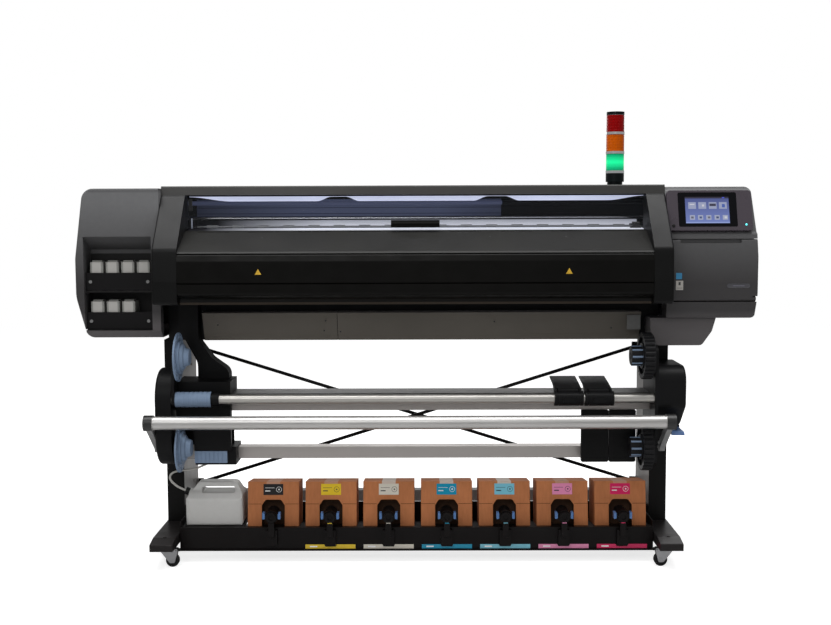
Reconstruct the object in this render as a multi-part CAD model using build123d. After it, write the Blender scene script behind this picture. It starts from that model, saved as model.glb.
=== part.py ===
from build123d import *
import math
import os

# Wide-format roll-to-roll printer with built-in cutter, on a castered stand.
# Millimetres. +X is the printer's right seen from the front, the front faces -Y, +Z is up.
# The origin is on the floor under the centre of the machine.

# ---------------------------------------------------------------- driving dimensions
END_L = -960.0        # left end of the print section
END_R = 940.0         # right end of the print section
MODULE_L = 320.0      # width of the left side module
MODULE_R = 340.0      # width of the right side module
OPENING = 868.0       # half width between the two cheeks
FOOT_Z = 73.0         # underside of the feet
FOOT_H = 38.0         # height of a foot
STAND_Z = 831.0       # underside of the printer body
BODY_H = 591.0        # body height
FOOT_HALF = 410.0     # half length of a foot
LEG_X = 946.5         # centre of a leg
LEG_W = 67.0          # thickness of a leg
LEG_Y0 = -120.0       # front face of a leg
LEG_Y1 = 152.0        # rear face of a leg
SKIN = 4.0            # moulded cover thickness

RUN = 0.05            # radial running clearance of shafts
GAP = 0.3             # clearance between pieces that move apart

CASTER_X = 942.0      # swivel axis of a caster
CASTER_Y = 345.0      # swivel axis of a caster, front and rear
TRAIL = 29.0          # caster trail
WHEEL_R = 25.0        # caster wheel radius
WHEEL_W = 20.0        # caster wheel width
AXLE_R = 4.0          # caster axle radius
PIN_R = 6.0           # caster swivel pin radius

ROD_R = 8.0           # carriage slider rod radius
ROD_Y = 30.0          # slider rods, front to back
CARRIAGE_W = 230.0    # carriage width
CARRIAGE_X = 1100.0   # carriage parked at the right
PULLEY_R = 11.0       # belt pulley radius
PULLEY_X = 1200.0     # belt pulleys, left and right
ROLLER_R = 16.0       # drive roller radius
PINCH_R = 6.0         # pinch roller radius
JOURNAL_R = 8.0       # drive roller journal radius

BAR_R = 17.5          # guide bar radius
BAR_Y = -320.0        # guide bar, front to back
HUB_Y = -300.0        # roll hubs, front to back
HUB_R = 91.5          # blue hub disc radius
GEAR_R = 87.5         # driven hub disc radius
CORE_R = 38.0         # plug that fits a 76 mm roll core
STUB_R = 12.0         # hub stub shaft radius
TENSION_R = 25.0      # tension bar radius
HINGE_R = 4.0         # window hinge pin radius

BOXES = 7             # ink boxes on the shelf
BOX_PITCH = 221.0     # spacing of the ink boxes
BOX_W = 196.0         # ink box width
BOX_H = 168.0         # ink box height
BOX_D = 140.0         # ink box depth
BOX_TILT = 8.0        # ink boxes lean back, degrees
HOSE_D = 8.0          # waste hose diameter
BOTTLE_X = -880.0     # left side of the waste bottle
BOTTLE_W = 219.0      # waste bottle width
BOTTLE_H = 160.0      # waste bottle height
BOTTLE_Y0 = -262.0    # waste bottle front
BOTTLE_Y1 = -112.0    # waste bottle back

# ---------------------------------------------------------------- derived dimensions
TOP_Z = STAND_Z + BODY_H
FOOT_TOP = FOOT_Z + FOOT_H
LEG_IN = LEG_X - LEG_W / 2
LEFT_X = END_L - MODULE_L
RIGHT_X = END_R + MODULE_R
PLATEN_Z = TOP_Z - 160
ROD_Z = (TOP_Z - 122, TOP_Z - 62)
BELT_Z = TOP_Z - 92
NIP_Y = -25.0
ROLLER_Z = PLATEN_Z - ROLLER_R - 1
PINCH_Z = ROLLER_Z + ROLLER_R + PINCH_R + 0.4
CHASSIS_TOP = TOP_Z - 46
REAR_Y = 335.0
BAR_Z = STAND_Z - 203
HUB_Z_HI = STAND_Z - 46
HUB_Z_LO = STAND_Z - 390
BEAM_HI = (STAND_Z - 257, STAND_Z - 193)
BEAM_LO = (STAND_Z - 451, STAND_Z - 406)
RAIL_L = -909.0
LOW_Y = -205.0
RAIL_R = 885.0
SHELF_Z = FOOT_TOP + 21
BOX_Y = -255.0
TENSION_Y = -380.0
TENSION_Z = STAND_Z - 281
SWING_Y = -230.0
SWING_Z = STAND_Z - 401
WINDOW_Y = -198.0
WINDOW_Z = TOP_Z - 46


# ---------------------------------------------------------------- helpers
def block(x0, x1, y0, y1, z0, z1):
    """A box between two corners."""
    return Pos((x0 + x1) / 2, (y0 + y1) / 2, (z0 + z1) / 2) * Box(x1 - x0, y1 - y0, z1 - z0)


def cyl_x(x0, x1, y, z, r):
    """A cylinder along X."""
    return Pos((x0 + x1) / 2, y, z) * Rot(0, 90, 0) * Cylinder(r, x1 - x0)


def cyl_y(x, y0, y1, z, r):
    """A cylinder along Y."""
    return Pos(x, (y0 + y1) / 2, z) * Rot(90, 0, 0) * Cylinder(r, y1 - y0)


def cyl_z(x, y, z0, z1, r):
    """A cylinder along Z."""
    return Pos(x, y, (z0 + z1) / 2) * Cylinder(r, z1 - z0)


def section(points):
    """A closed flat outline. A third number on a point rounds that corner."""
    face = make_face(Polyline(*[(p[0], p[1]) for p in points], close=True))
    for r in sorted({p[2] for p in points if len(p) > 2}):
        wanted = [p for p in points if len(p) > 2 and p[2] == r]
        near = [v for v in face.vertices()
                if min(abs(v.X - p[0]) + abs(v.Y - p[1]) for p in wanted) < 0.01]
        face = fillet(near, r)
    return face


def prism_x(points, x0, x1):
    """An outline in (Y, Z) carried along X."""
    return extrude(Plane.YZ.offset(x0) * section(points), x1 - x0, dir=(1, 0, 0))


def prism_y(points, y0, y1):
    """An outline in (X, Z) carried along Y."""
    return extrude(Plane.XZ.offset(-y0) * section(points), y1 - y0, dir=(0, 1, 0))


def prism_z(points, z0, z1):
    """An outline in (X, Y) carried along Z."""
    return extrude(Plane.XY.offset(z0) * section(points), z1 - z0, dir=(0, 0, 1))


def flip(points):
    """An (X, Z) or (X, Y) outline mirrored left to right."""
    return [(-p[0],) + tuple(p[1:]) for p in points]


def fused(solids):
    """One solid out of touching ones."""
    body = solids[0]
    for piece in solids[1:]:
        body += piece
    return body


def save(node, *solids):
    """Write one sub-part, made of one or more separate solids."""
    shape = solids[0] if len(solids) == 1 else Compound(children=list(solids))
    export_step(shape, "parts/" + node + ".step")


# ---------------------------------------------------------------- stand
def foot(side):
    """A rectangular foot bar with sloped ends and two caster sockets."""
    x = side * CASTER_X
    bar = prism_x([(-FOOT_HALF, FOOT_Z, 4), (-FOOT_HALF, FOOT_TOP - 11, 6),
                   (60 - FOOT_HALF, FOOT_TOP), (FOOT_HALF - 60, FOOT_TOP),
                   (FOOT_HALF, FOOT_TOP - 11, 6), (FOOT_HALF, FOOT_Z, 4)], x - 42.5, x + 42.5)
    for y in (-CASTER_Y, CASTER_Y):
        bar -= cyl_z(x, y, FOOT_Z - 1, FOOT_Z + 25, PIN_R + RUN)
        bar += cyl_z(x, y, FOOT_TOP - 6, FOOT_TOP + 2, 7)
    return bar


def stand_leg(side):
    """A hollow upright with a folded front edge."""
    x = side * LEG_X
    half = LEG_W / 2
    leg = block(x - half, x + half, LEG_Y0, LEG_Y1, FOOT_TOP, STAND_Z)
    leg -= block(x - half + 4, x + half - 4, LEG_Y0 + 4, LEG_Y1 - 4, FOOT_TOP - 1, STAND_Z + 1)
    inner = x - side * half
    for z in (FOOT_TOP + 60, FOOT_TOP + 120, STAND_Z - 120, STAND_Z - 60):
        leg += cyl_x(min(inner, inner - side * 3), max(inner, inner - side * 3), 60, z, 6)
    return leg


def crossbar():
    """The rear tie between the two legs."""
    bar = block(-LEG_IN, LEG_IN, 108, 150, FOOT_TOP + 19, FOOT_TOP + 65)
    return bar - block(-LEG_IN - 1, LEG_IN + 1, 111, 147, FOOT_TOP + 22, FOOT_TOP + 62)


def brace_rod(side):
    """One diagonal stay with its two end plates."""
    y = 123.0 if side > 0 else 139.0
    z0 = FOOT_TOP + 95
    z1 = STAND_Z - 59
    reach = LEG_IN - 12
    span = math.hypot(2 * reach, z1 - z0)
    lean = math.degrees(math.atan2(z1 - z0, 2 * reach))
    rod = Pos(0, y, (z0 + z1) / 2) * Rot(0, -side * lean, 0) * Rot(0, 90, 0) * Cylinder(7, span)
    for x, z in ((-side * reach, z0), (side * reach, z1)):
        out = LEG_IN if x > 0 else -LEG_IN
        rod += block(min(out, out * 0.97), max(out, out * 0.97), y - 7, y + 7, z - 18, z + 18)
    return rod - block(LEG_IN, LEG_IN + 90, 0, 200, 0, STAND_Z) - block(
        -LEG_IN - 90, -LEG_IN, 0, 200, 0, STAND_Z)


# ---------------------------------------------------------------- casters
def caster_fork(side, end, braked):
    """Swivel plate, pin, two cheeks and the fixed axle."""
    x = side * CASTER_X
    y = end * CASTER_Y
    hub = x - side * TRAIL
    body = cyl_z(x, y, FOOT_Z - 7, FOOT_Z - GAP, 22) + cyl_z(x, y, FOOT_Z - 7, FOOT_Z + 24, PIN_R)
    nose = hub - side * 20 if braked else hub - side * 9
    for s in (-1, 1):
        y0 = y + s * (WHEEL_W / 2 + 2.5) - 1.5
        body += prism_y([(x + side * 14, FOOT_Z - 4), (x + side * 12, FOOT_Z - 16, 6),
                         (hub + side * 9, WHEEL_R - 9, 7), (hub - side * 9, WHEEL_R - 9, 7),
                         (nose, FOOT_Z - 14, 4), (nose, FOOT_Z - 4, 4)], y0, y0 + 3)
    body += cyl_y(hub, y - WHEEL_W / 2 - 6, y + WHEEL_W / 2 + 6, WHEEL_R, AXLE_R)
    if braked:
        body -= cyl_y(hub - side * 15, y - 30, y + 30, FOOT_Z - 9, 2 + RUN)
    return body


def caster_wheel(side, end):
    """Solid wheel with a recessed hub."""
    x = side * (CASTER_X - TRAIL)
    y = end * CASTER_Y
    half = WHEEL_W / 2
    wheel = cyl_y(x, y - half, y + half, WHEEL_R, WHEEL_R)
    wheel = fillet(wheel.edges().filter_by(GeomType.CIRCLE), 3)
    for s in (-1, 1):
        wheel -= cyl_y(x, y + s * half - 2, y + s * half + 2, WHEEL_R, 0.66 * WHEEL_R)
        wheel += cyl_y(x, y + s * (half - 3) - 3, y + s * (half - 3) + 3, WHEEL_R, 9)
    return wheel - cyl_y(x, y - WHEEL_W, y + WHEEL_W, WHEEL_R, AXLE_R + RUN)


def brake_pedal(side):
    """Foot pedal of a braked caster, on a cross pin between the cheeks."""
    pivot = side * (CASTER_X - TRAIL - 15)
    z = FOOT_Z - 9
    half = WHEEL_W / 2 + 0.6
    plate = prism_y([(pivot + side * 5, z + 3), (pivot - side * 8, z + 3, 3),
                     (pivot - side * 15, z + 1), (pivot - side * 15, z - 4),
                     (pivot - side * 8, z - 3, 3), (pivot + side * 5, z - 3)],
                    -CASTER_Y - half, -CASTER_Y + half)
    return plate + cyl_y(pivot, -CASTER_Y - half - 4, -CASTER_Y + half + 4, z, 2)


# ---------------------------------------------------------------- ink shelf and supplies
def slot_x(i):
    """Centre of ink box i."""
    return (i - (BOXES - 1) / 2) * BOX_PITCH + 116


def shelf_plate():
    """Folded tray: leaning floor under the boxes, level floor under the bottle."""
    end = LEG_IN - 16
    split = slot_x(0) - BOX_W / 2 - 12
    fall = math.tan(math.radians(BOX_TILT)) * 226
    tray = prism_x([(-290, SHELF_Z - 88, 3), (-290, SHELF_Z), (-286, SHELF_Z), (-60, SHELF_Z - fall),
                    (-60, SHELF_Z + 40), (-56, SHELF_Z + 40), (-56, SHELF_Z - fall - 4),
                    (-286, SHELF_Z - 4), (-286, SHELF_Z - 84), (-276, SHELF_Z - 84),
                    (-276, SHELF_Z - 88)], split, end)
    tray += prism_x([(-290, SHELF_Z - 88, 3), (-290, SHELF_Z), (-60, SHELF_Z),
                     (-60, SHELF_Z + 40), (-56, SHELF_Z + 40), (-56, SHELF_Z - 4),
                     (-286, SHELF_Z - 4), (-286, SHELF_Z - 84), (-276, SHELF_Z - 84),
                     (-276, SHELF_Z - 88)], -end, split + 4)
    tray += block(-end, end, -300, -290, SHELF_Z - 88, SHELF_Z - 84)
    for s in (-1, 1):
        inner = s * end
        outer = s * LEG_IN
        tray += block(min(inner, outer), max(inner, outer), -110, -50, SHELF_Z - 18, SHELF_Z + 40)
        cap = s * (end - 4)
        tray += block(min(cap, inner), max(cap, inner), -290, -56, SHELF_Z - 88, SHELF_Z + 22)
    return tray


def dock(i):
    """Ink outlet of one slot: backplate, spout, bent neck and round connector with two grips."""
    x = slot_x(i)
    z = SHELF_Z
    body = block(x - 21, x + 21, -306, -290, z - 66, z - 8)
    body += prism_x([(-316, z - 34, 5), (-300, z - 34), (-300, z + 30), (-316, z + 22, 5)], x - 11, x + 11)
    body += cyl_y(x, -306, -226, z + 44, 24)
    body += cyl_y(x, -318, -306, z + 44, 19)
    body += block(x - 9, x + 9, -314, -292, z + 2, z + 30)
    body -= cyl_y(x, -319, -313, z + 44, 11)
    for s in (-1, 1):
        body += Pos(x + s * 23, -300, z + 47) * Rot(90, 0, 0) * Cylinder(9, 16)
        body += block(x + s * 30 - 4, x + s * 30 + 4, -308, -284, z + 36, z + 60)
    return body


def slot_marker(i):
    """Stepped colour strip on the shelf's apron."""
    x = slot_x(i)
    z = SHELF_Z - 88
    return prism_y([(x - 95, z + 6), (x - 95, z + 22), (x - 24, z + 22), (x - 20, z + 14),
                    (x + 20, z + 14), (x + 24, z + 22), (x + 95, z + 22), (x + 95, z + 6)], -291.5, -290)


def ink_box(i):
    """Carton with a lift-over notch for the connector, a flap seam and a raised label."""
    x = slot_x(i)
    half = BOX_W / 2
    carton = block(-half, half, 0, BOX_D, 0, BOX_H)
    carton = fillet(carton.edges().filter_by(Axis.Z), 3)
    carton -= prism_y([(-44, -1), (-44, 78), (-30, 100, 12), (30, 100, 12), (44, 78), (44, -1)], -1, 48)
    carton -= block(-half - 1, half + 1, -1, 0.8, 0.62 * BOX_H, 0.62 * BOX_H + 1.2)
    carton -= block(-44, -43, -1, 0.8, 60, 0.62 * BOX_H)
    carton -= block(43, 44, -1, 0.8, 60, 0.62 * BOX_H)
    carton += block(-38, 38, -0.6, 0, 0.7 * BOX_H, 0.95 * BOX_H)
    return Pos(x, BOX_Y, SHELF_Z + 0.2 - (BOX_Y + 286) * math.tan(math.radians(BOX_TILT))) * Rot(
        -BOX_TILT, 0, 0) * carton


def waste_bottle():
    """Square bottle with a raised carrying handle, its hand slot and a screw cap on the left shoulder."""
    x0 = BOTTLE_X
    x1 = x0 + BOTTLE_W
    z0 = SHELF_Z
    fold = z0 + BOTTLE_H - 58
    top = z0 + BOTTLE_H
    front = prism_y([(x0, z0, 12), (x0, fold - 1, 8), (x0 + 45, top, 18), (x1 - 30, top, 26),
                     (x1 - 4, fold + 10, 20), (x1, z0, 12)], BOTTLE_Y0, BOTTLE_Y1)
    side = prism_x([(BOTTLE_Y0, z0, 8), (BOTTLE_Y0, fold, 14), (BOTTLE_Y0 + 40, fold + 26, 16),
                    (BOTTLE_Y0 + 48, top, 10), (BOTTLE_Y1 - 54, top, 10), (BOTTLE_Y1 - 46, fold + 26, 16),
                    (BOTTLE_Y1, fold, 14), (BOTTLE_Y1, z0, 8)], x0, x1)
    plan = prism_z([(x0, BOTTLE_Y0, 16), (x1, BOTTLE_Y0, 16), (x1, BOTTLE_Y1, 16), (x0, BOTTLE_Y1, 16)],
                   z0, top)
    body = front & side & plan
    body -= prism_y([(x0 + 57, top - 41, 8), (x0 + 57, top - 18, 8), (x1 - 35, top - 18, 8),
                     (x1 - 35, top - 41, 8)], BOTTLE_Y0 - 10, BOTTLE_Y1 + 10)
    cap = Pos(x0, -190, fold + 13) * Rot(0, -70, 0) * Cylinder(15, 26)
    return body + cap


def hose_points():
    """Corners of the waste hose, from the bottle cap to the drain nipple."""
    z = SHELF_Z
    return [(-893.2, -190.0, z + 119.8), (-915.7, -188.5, z + 128), (-938.0, -187.0, z + 143),
            (-954.0, -185.0, z + 160), (-955.0, -183.0, z + 176), (-943.0, -181.0, z + 188),
            (-920.0, -178.0, z + 194), (-890.0, -172.0, z + 195.5), (-855.0, -162.0, z + 199),
            (-826.0, -150.0, z + 210), (-796.0, -137.0, z + 221), (-769.8, -133.0, z + 224)]


def turn_radii(points):
    """Bend radius at each inner corner, and the turn there in degrees."""
    radii = []
    for a, b, c in zip(points, points[1:], points[2:]):
        u = Vector(*b) - Vector(*a)
        v = Vector(*c) - Vector(*b)
        turn = math.radians(u.get_angle(v))
        radii.append(0.45 * min(u.length, v.length) / math.tan(turn / 2))
    return radii


def waste_hose():
    """Limp hose along straight runs and tangent bends."""
    points = hose_points()
    radii = turn_radii(points)
    path = FilletPolyline(*points, radius=radii)
    start = Plane(origin=path @ 0, z_dir=path % 0)
    tube = sweep(start * Circle(HOSE_D / 2), path=path)
    print("hose radii", [round(r, 1) for r in radii], "length", round(path.length, 1))
    print("hose volume ratio", round(tube.volume / (math.pi * HOSE_D ** 2 / 4 * path.length), 4))
    return tube


# ---------------------------------------------------------------- body structure
def chassis():
    """Floor beam, rear wall beam, slider rods, roller brackets and belt axles."""
    base = block(END_L + 1, END_R - 1, -130, 200, STAND_Z, STAND_Z + 144)
    base -= block(END_L, END_R, -127, 197, STAND_Z + 3, STAND_Z + 141)
    wall = block(LEFT_X + 40, RIGHT_X - 40, 90, 200, STAND_Z + 144, CHASSIS_TOP)
    wall -= block(LEFT_X, RIGHT_X, 93, 197, STAND_Z + 147, CHASSIS_TOP - 3)
    frame = base + wall
    for s in (-1, 1):
        inner = s * 1236.0
        outer = s * 1240.0
        frame += block(min(inner, outer), max(inner, outer), ROD_Y - 16, 92, ROD_Z[0] - 16, ROD_Z[1] + 12)
        gap = s * (OPENING - 8)
        far = s * OPENING
        cheek = block(min(gap, far), max(gap, far), -55, 92, ROLLER_Z - 22, PINCH_Z + 8)
        cheek -= cyl_x(min(gap, far) - 1, max(gap, far) + 1, NIP_Y, ROLLER_Z, JOURNAL_R + RUN)
        cheek -= cyl_x(min(gap, far) - 1, max(gap, far) + 1, NIP_Y, PINCH_Z, 3 + RUN)
        frame += cheek
        frame += cyl_y(s * PULLEY_X, 61.7, 92, BELT_Z, 5)
        frame += cyl_y(s * PULLEY_X, 58, 61.7, BELT_Z, 7.5)
    for z in ROD_Z:
        frame += cyl_x(-1238, 1238, ROD_Y, z, ROD_R)
    return frame


def platen():
    """Flat vacuum platen with the cutter's groove along its front edge."""
    z = PLATEN_Z
    half = OPENING - 8
    plate = prism_x([(-215, z - 30), (-215, z - 5), (-205, z - 3), (-205, z - 12), (-185, z - 12),
                     (-185, z), (-45, z), (-45, z - 30)], -half, half)
    plate -= block(-half + 10, half - 10, -175, -60, z - 31, z - 10)
    for i in range(17):
        x = (i - 8) * 100.0
        plate -= block(x - 30, x + 30, -120, -116, z - 4, z + 1)
    return plate


def drive_roller():
    """Media drive roller with gripping rings and two journals."""
    half = OPENING - 9
    roller = cyl_x(-half, half, NIP_Y, ROLLER_Z, ROLLER_R - 1)
    for i in range(17):
        x = (i - 8) * 100.0
        roller += cyl_x(x - 30, x + 30, NIP_Y, ROLLER_Z, ROLLER_R)
    return roller + cyl_x(-half - 9, half + 9, NIP_Y, ROLLER_Z, JOURNAL_R)


def pinch_rollers():
    """Row of pinch rollers on one shaft above the drive roller."""
    half = OPENING - 9
    shaft = cyl_x(-half - 9, half + 9, NIP_Y, PINCH_Z, 3)
    for i in range(17):
        x = (i - 8) * 100.0
        shaft += cyl_x(x - 22, x + 22, NIP_Y, PINCH_Z, PINCH_R)
    return shaft


def carriage():
    """Print carriage: cover, row of print heads, rod bores and belt clamp."""
    x0 = CARRIAGE_X - CARRIAGE_W / 2
    x1 = CARRIAGE_X + CARRIAGE_W / 2
    z0 = PLATEN_Z + 18
    top = CHASSIS_TOP - 4
    body = prism_x([(-150, z0, 6), (-150, top - 26, 14), (-128, top, 14), (56, top), (56, z0)], x0, x1)
    for i in range(6):
        x = x0 + 22 + i * (CARRIAGE_W - 44) / 5
        body += block(x - 14, x + 14, -138, -66, PLATEN_Z + 4, z0)
        body += block(x - 12, x + 12, -120, -80, top, top + 3)
    for z in ROD_Z:
        body -= cyl_x(x0 - 1, x1 + 1, ROD_Y, z, ROD_R + RUN)
    run = BELT_Z + PULLEY_R
    body += block(CARRIAGE_X - 20, CARRIAGE_X + 20, 56, 76, run + 1.9, run + 7)
    body += block(CARRIAGE_X - 20, CARRIAGE_X + 20, 56, 76, run - 6, run - 0.4)
    return body


def belt():
    """Toothed belt loop round the two pulleys."""
    def loop(r, y0, y1):
        ends = cyl_y(-PULLEY_X, y0, y1, BELT_Z, r) + cyl_y(PULLEY_X, y0, y1, BELT_Z, r)
        return ends + block(-PULLEY_X, PULLEY_X, y0, y1, BELT_Z - r, BELT_Z + r)
    return loop(PULLEY_R + 1.5, 64, 76) - loop(PULLEY_R, 63, 77)


def pulley(side):
    """Flanged belt pulley on its axle."""
    x = side * PULLEY_X
    wheel = cyl_y(x, 62, 78, BELT_Z, PULLEY_R - RUN)
    wheel += cyl_y(x, 62, 63.7, BELT_Z, PULLEY_R + 4)
    wheel += cyl_y(x, 76.3, 78, BELT_Z, PULLEY_R + 4)
    for i in range(5):
        a = math.radians(i * 72)
        wheel -= cyl_y(x + 8 * math.cos(a), 60, 80, BELT_Z + 8 * math.sin(a), 1.5)
    return wheel - cyl_y(x, 60, 80, BELT_Z, 5 + RUN)


def cutter():
    """Cross-cutter: slider in the platen groove with a round blade on it."""
    z = PLATEN_Z
    x = OPENING - 34
    body = block(x - 20, x + 20, -205 + GAP, -185 - GAP, z - 12 + GAP, z + 8)
    body += prism_x([(-204, z + 8), (-204, z + 18, 4), (-188, z + 22, 4), (-188, z + 8)], x - 14, x + 14)
    return body + cyl_y(x, -206.5, -204, z + 8, 9)


# ---------------------------------------------------------------- body covers
def left_outline(grow):
    """Front outline of the left module, shrunk by -grow."""
    x = LEFT_X - grow
    return [(END_L, STAND_Z + 19 - grow), (x + 42, STAND_Z + 19 - grow, 22), (x, STAND_Z + 175, 150),
            (x, STAND_Z + 320, 150), (x + 34, TOP_Z - 9 + grow, 44), (END_L, TOP_Z - 9 + grow)]


def alcove(grow):
    """Recess for the small tanks, with a sloping ceiling."""
    x0 = LEFT_X + 33 - grow
    x1 = END_L - 32 + grow
    z0 = STAND_Z + 49 - grow
    return prism_x([(-260, z0), (-260, STAND_Z + 409 + grow), (-150 + grow, STAND_Z + 352 + grow),
                    (-150 + grow, z0)], x0, x1)


def rear_slope(front, inset):
    """Cutting block that leans the upper rear of a side module forward."""
    rear = REAR_Y - inset
    return prism_x([(front, STAND_Z - 5), (front, TOP_Z + 20), (rear - 72.3, TOP_Z + 20),
                    (rear, TOP_Z - 150, 60), (rear, STAND_Z - 5)], LEFT_X - 20, END_L + 2)


def left_shell():
    """Left side module: rounded hollow cover with the tank recess and a chamfered chin."""
    front = -248.0
    outer = prism_y(left_outline(0), front, REAR_Y) & rear_slope(front - 1, 0)
    outer -= prism_x([(front - 1, STAND_Z), (front - 1, STAND_Z + 47), (front + 38, STAND_Z + 18),
                      (front + 38, STAND_Z)], LEFT_X - 10, END_L + 10)
    lips = [e for e in outer.edges().group_by(Axis.Y)[0] if e.length > 30 and e.center().X < END_L - 1]
    outer = fillet(lips, 9)
    cavity = prism_y(left_outline(-SKIN), front + 42, REAR_Y - SKIN) - alcove(SKIN)
    cavity += block(END_L - 8, END_L + 1, -150, REAR_Y - SKIN, STAND_Z + 140, TOP_Z - 20)
    cavity &= rear_slope(front - 1, SKIN + 2)
    shell = outer - cavity - alcove(0)
    bar_x0 = LEFT_X + 33
    bar_x1 = END_L - 32
    shell += block(bar_x0, bar_x1, -232, -150, STAND_Z + 192, STAND_Z + 198)
    for i in range(9):
        z = STAND_Z + 120 + i * 14
        shell -= block(LEFT_X - 10, LEFT_X + 20, 40, 260, z, z + 5)
    return shell


def ink_tanks():
    """Seven small tanks in two rows, each row behind a screwed cover plate."""
    solids = []
    x_first = LEFT_X + 74
    for count, z in ((4, STAND_Z + 198), (3, STAND_Z + 49)):
        for i in range(count):
            x = x_first + i * 59
            tank = block(x - 25, x + 25, -222, -152, z, z + 108)
            tank = fillet(tank.edges().filter_by(Axis.Z), 4)
            tank += block(x - 18, x + 18, -212, -180, z + 108, z + 114)
            solids.append(tank)
        plate = block(LEFT_X + 35, END_L - 34, -228, -224, z + 1, z + 68)
        for x in (LEFT_X + 52, END_L - 51):
            plate += cyl_y(x, -231, -228, z + 34, 6)
            plate -= cyl_y(x, -232, -229.5, z + 34, 2.5)
            plate += block(x - 4, x + 4, -224, -222, z + 1, z + 40)
        solids.append(plate)
    return solids


def right_outline(grow):
    """Front outline of the right module."""
    x = RIGHT_X + grow
    return [(END_R, STAND_Z + 90 - grow), (x - 12, STAND_Z + 90 - grow, 18), (x, STAND_Z + 175, 150),
            (x, STAND_Z + 320, 150), (x - 18, TOP_Z - 9 + grow, 26), (END_R, TOP_Z - 9 + grow)]


def right_shell():
    """Right side module: hollow cover with a door bay, a leaning panel seat and a belly pan."""
    z = STAND_Z
    side = prism_x([(-262, z + 90, 12), (-262, z + 151), (-214, z + 151), (-214, z + 387),
                    (-262, z + 387), (-262, z + 405, 8), (-250.4, z + 413.5), (-203.3, TOP_Z - 25.3),
                    (-192, TOP_Z - 11), (-186, TOP_Z - 9), (REAR_Y - 60, TOP_Z - 9),
                    (REAR_Y, TOP_Z - 150, 60), (REAR_Y, z + 90, 12)], END_R, RIGHT_X)
    outer = side & prism_y(right_outline(0), -270, REAR_Y + 1)
    cavity = prism_y(right_outline(-6), -180, REAR_Y - SKIN)
    cavity &= prism_x([(-180, z + 96), (-180, TOP_Z - 24), (REAR_Y - 66, TOP_Z - 24),
                       (REAR_Y - 8, TOP_Z - 160), (REAR_Y - 8, z + 96)], END_R - 5, RIGHT_X)
    cavity += block(END_R - 1, END_R + 8, -160, REAR_Y - 66, z + 140, TOP_Z - 24)
    shell = outer - cavity
    shell += prism_y([(END_R - 50, z + 4, 20), (END_R - 56, z + 60), (END_R - 56, z + 90),
                      (END_R + 190, z + 90), (END_R + 176, z + 40, 30), (END_R + 138, z - 14, 20),
                      (END_R - 40, z - 14, 20)], -245, -131)
    shell += block(END_R, END_R + 4.2, -262, -214, z + 151, z + 172)
    shell += block(RIGHT_X - 18, RIGHT_X - 6, -252.5, -214, z + 151, z + 172)
    shell += cyl_x(RIGHT_X - 18, RIGHT_X - 6, -252.5, z + 162.5, 9)
    shell += cyl_x(END_R + 4, END_R + 11, -252.5, z + 162.5, 3)
    shell += cyl_x(RIGHT_X - 25, RIGHT_X - 18, -252.5, z + 162.5, 3)
    for i in range(9):
        shell -= block(RIGHT_X - 20, RIGHT_X + 10, 40, 260, z + 150 + i * 14, z + 155 + i * 14)
    return shell


def service_door():
    """Drop-down door of the right module, with a long hand slot."""
    z = STAND_Z
    door = prism_x([(-262, z + 153.5, 9), (-262, z + 385, 6), (-214 - GAP, z + 385),
                    (-214 - GAP, z + 166), (-219, z + 153.5)], END_R + 4.5, RIGHT_X)
    door &= prism_y(right_outline(0), -270, -200)
    door -= block(RIGHT_X - 18.4, RIGHT_X + 5, -270, -200, z + 150, z + 172.4)
    door -= block(END_R + 12, RIGHT_X - 22, -258, -200, z + 176, z + 381)
    door -= block(END_R + 49, RIGHT_X - 64, -264, -250, z + 371, z + 386)
    door += block(END_R + 45, RIGHT_X - 60, -250, -246, z + 367, z + 383)
    door += block(END_R + 45, RIGHT_X - 60, -258, -250, z + 367, z + 371)
    door -= cyl_x(END_R, END_R + 12, -252.5, z + 162.5, 3 + RUN)
    door -= cyl_x(RIGHT_X - 26, RIGHT_X, -252.5, z + 162.5, 3 + RUN)
    return door


def panel_plane():
    """Plane of the leaning control panel's front face, centred on the panel."""
    return Plane(origin=((END_R + RIGHT_X) / 2 - 2, -244.5, STAND_Z + 495), x_dir=(1, 0, 0),
                 z_dir=(0, -math.cos(math.radians(17.2)), math.sin(math.radians(17.2))))


def panel_block(x0, x1, y0, y1, depth0, depth1, r=0):
    """A block on the control panel: depth is measured into the machine."""
    sheet = Pos((x0 + x1) / 2, (y0 + y1) / 2, -depth1) * Rectangle(x1 - x0, y1 - y0)
    if r:
        sheet = fillet(sheet.vertices(), r)
    return panel_plane() * extrude(sheet, depth1 - depth0, dir=(0, 0, 1))


def screen_bezel():
    """Leaning bezel with the screen's pocket and the button's bore."""
    half = (RIGHT_X - END_R) / 2
    bezel = panel_block(-half + 3, half - 21, -80, 76, 0, 18, 14)
    bezel -= panel_block(-half + 44, half - 77, -66, 68, -1, 6, 6)
    bezel -= panel_block(-half + 58, half - 91, -50, 50, 5, 14)
    bezel -= panel_plane() * Pos(-half + 24, -62, -10) * Cylinder(6.3, 24)
    return bezel


def touch_screen():
    """Glass front of the control panel with the display block behind it."""
    half = (RIGHT_X - END_R) / 2
    glass = panel_block(-half + 44.5, half - 77.5, -65.5, 67.5, 1, 6, 6)
    return glass + panel_block(-half + 60, half - 93, -48, 48, 6, 12)


def power_button():
    """Small push button left of the screen."""
    half = (RIGHT_X - END_R) / 2
    button = panel_plane() * Pos(-half + 24, -62, -6) * Cylinder(6, 16)
    return fillet(button.edges().group_by(Axis.Y)[0], 1.5)


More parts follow.
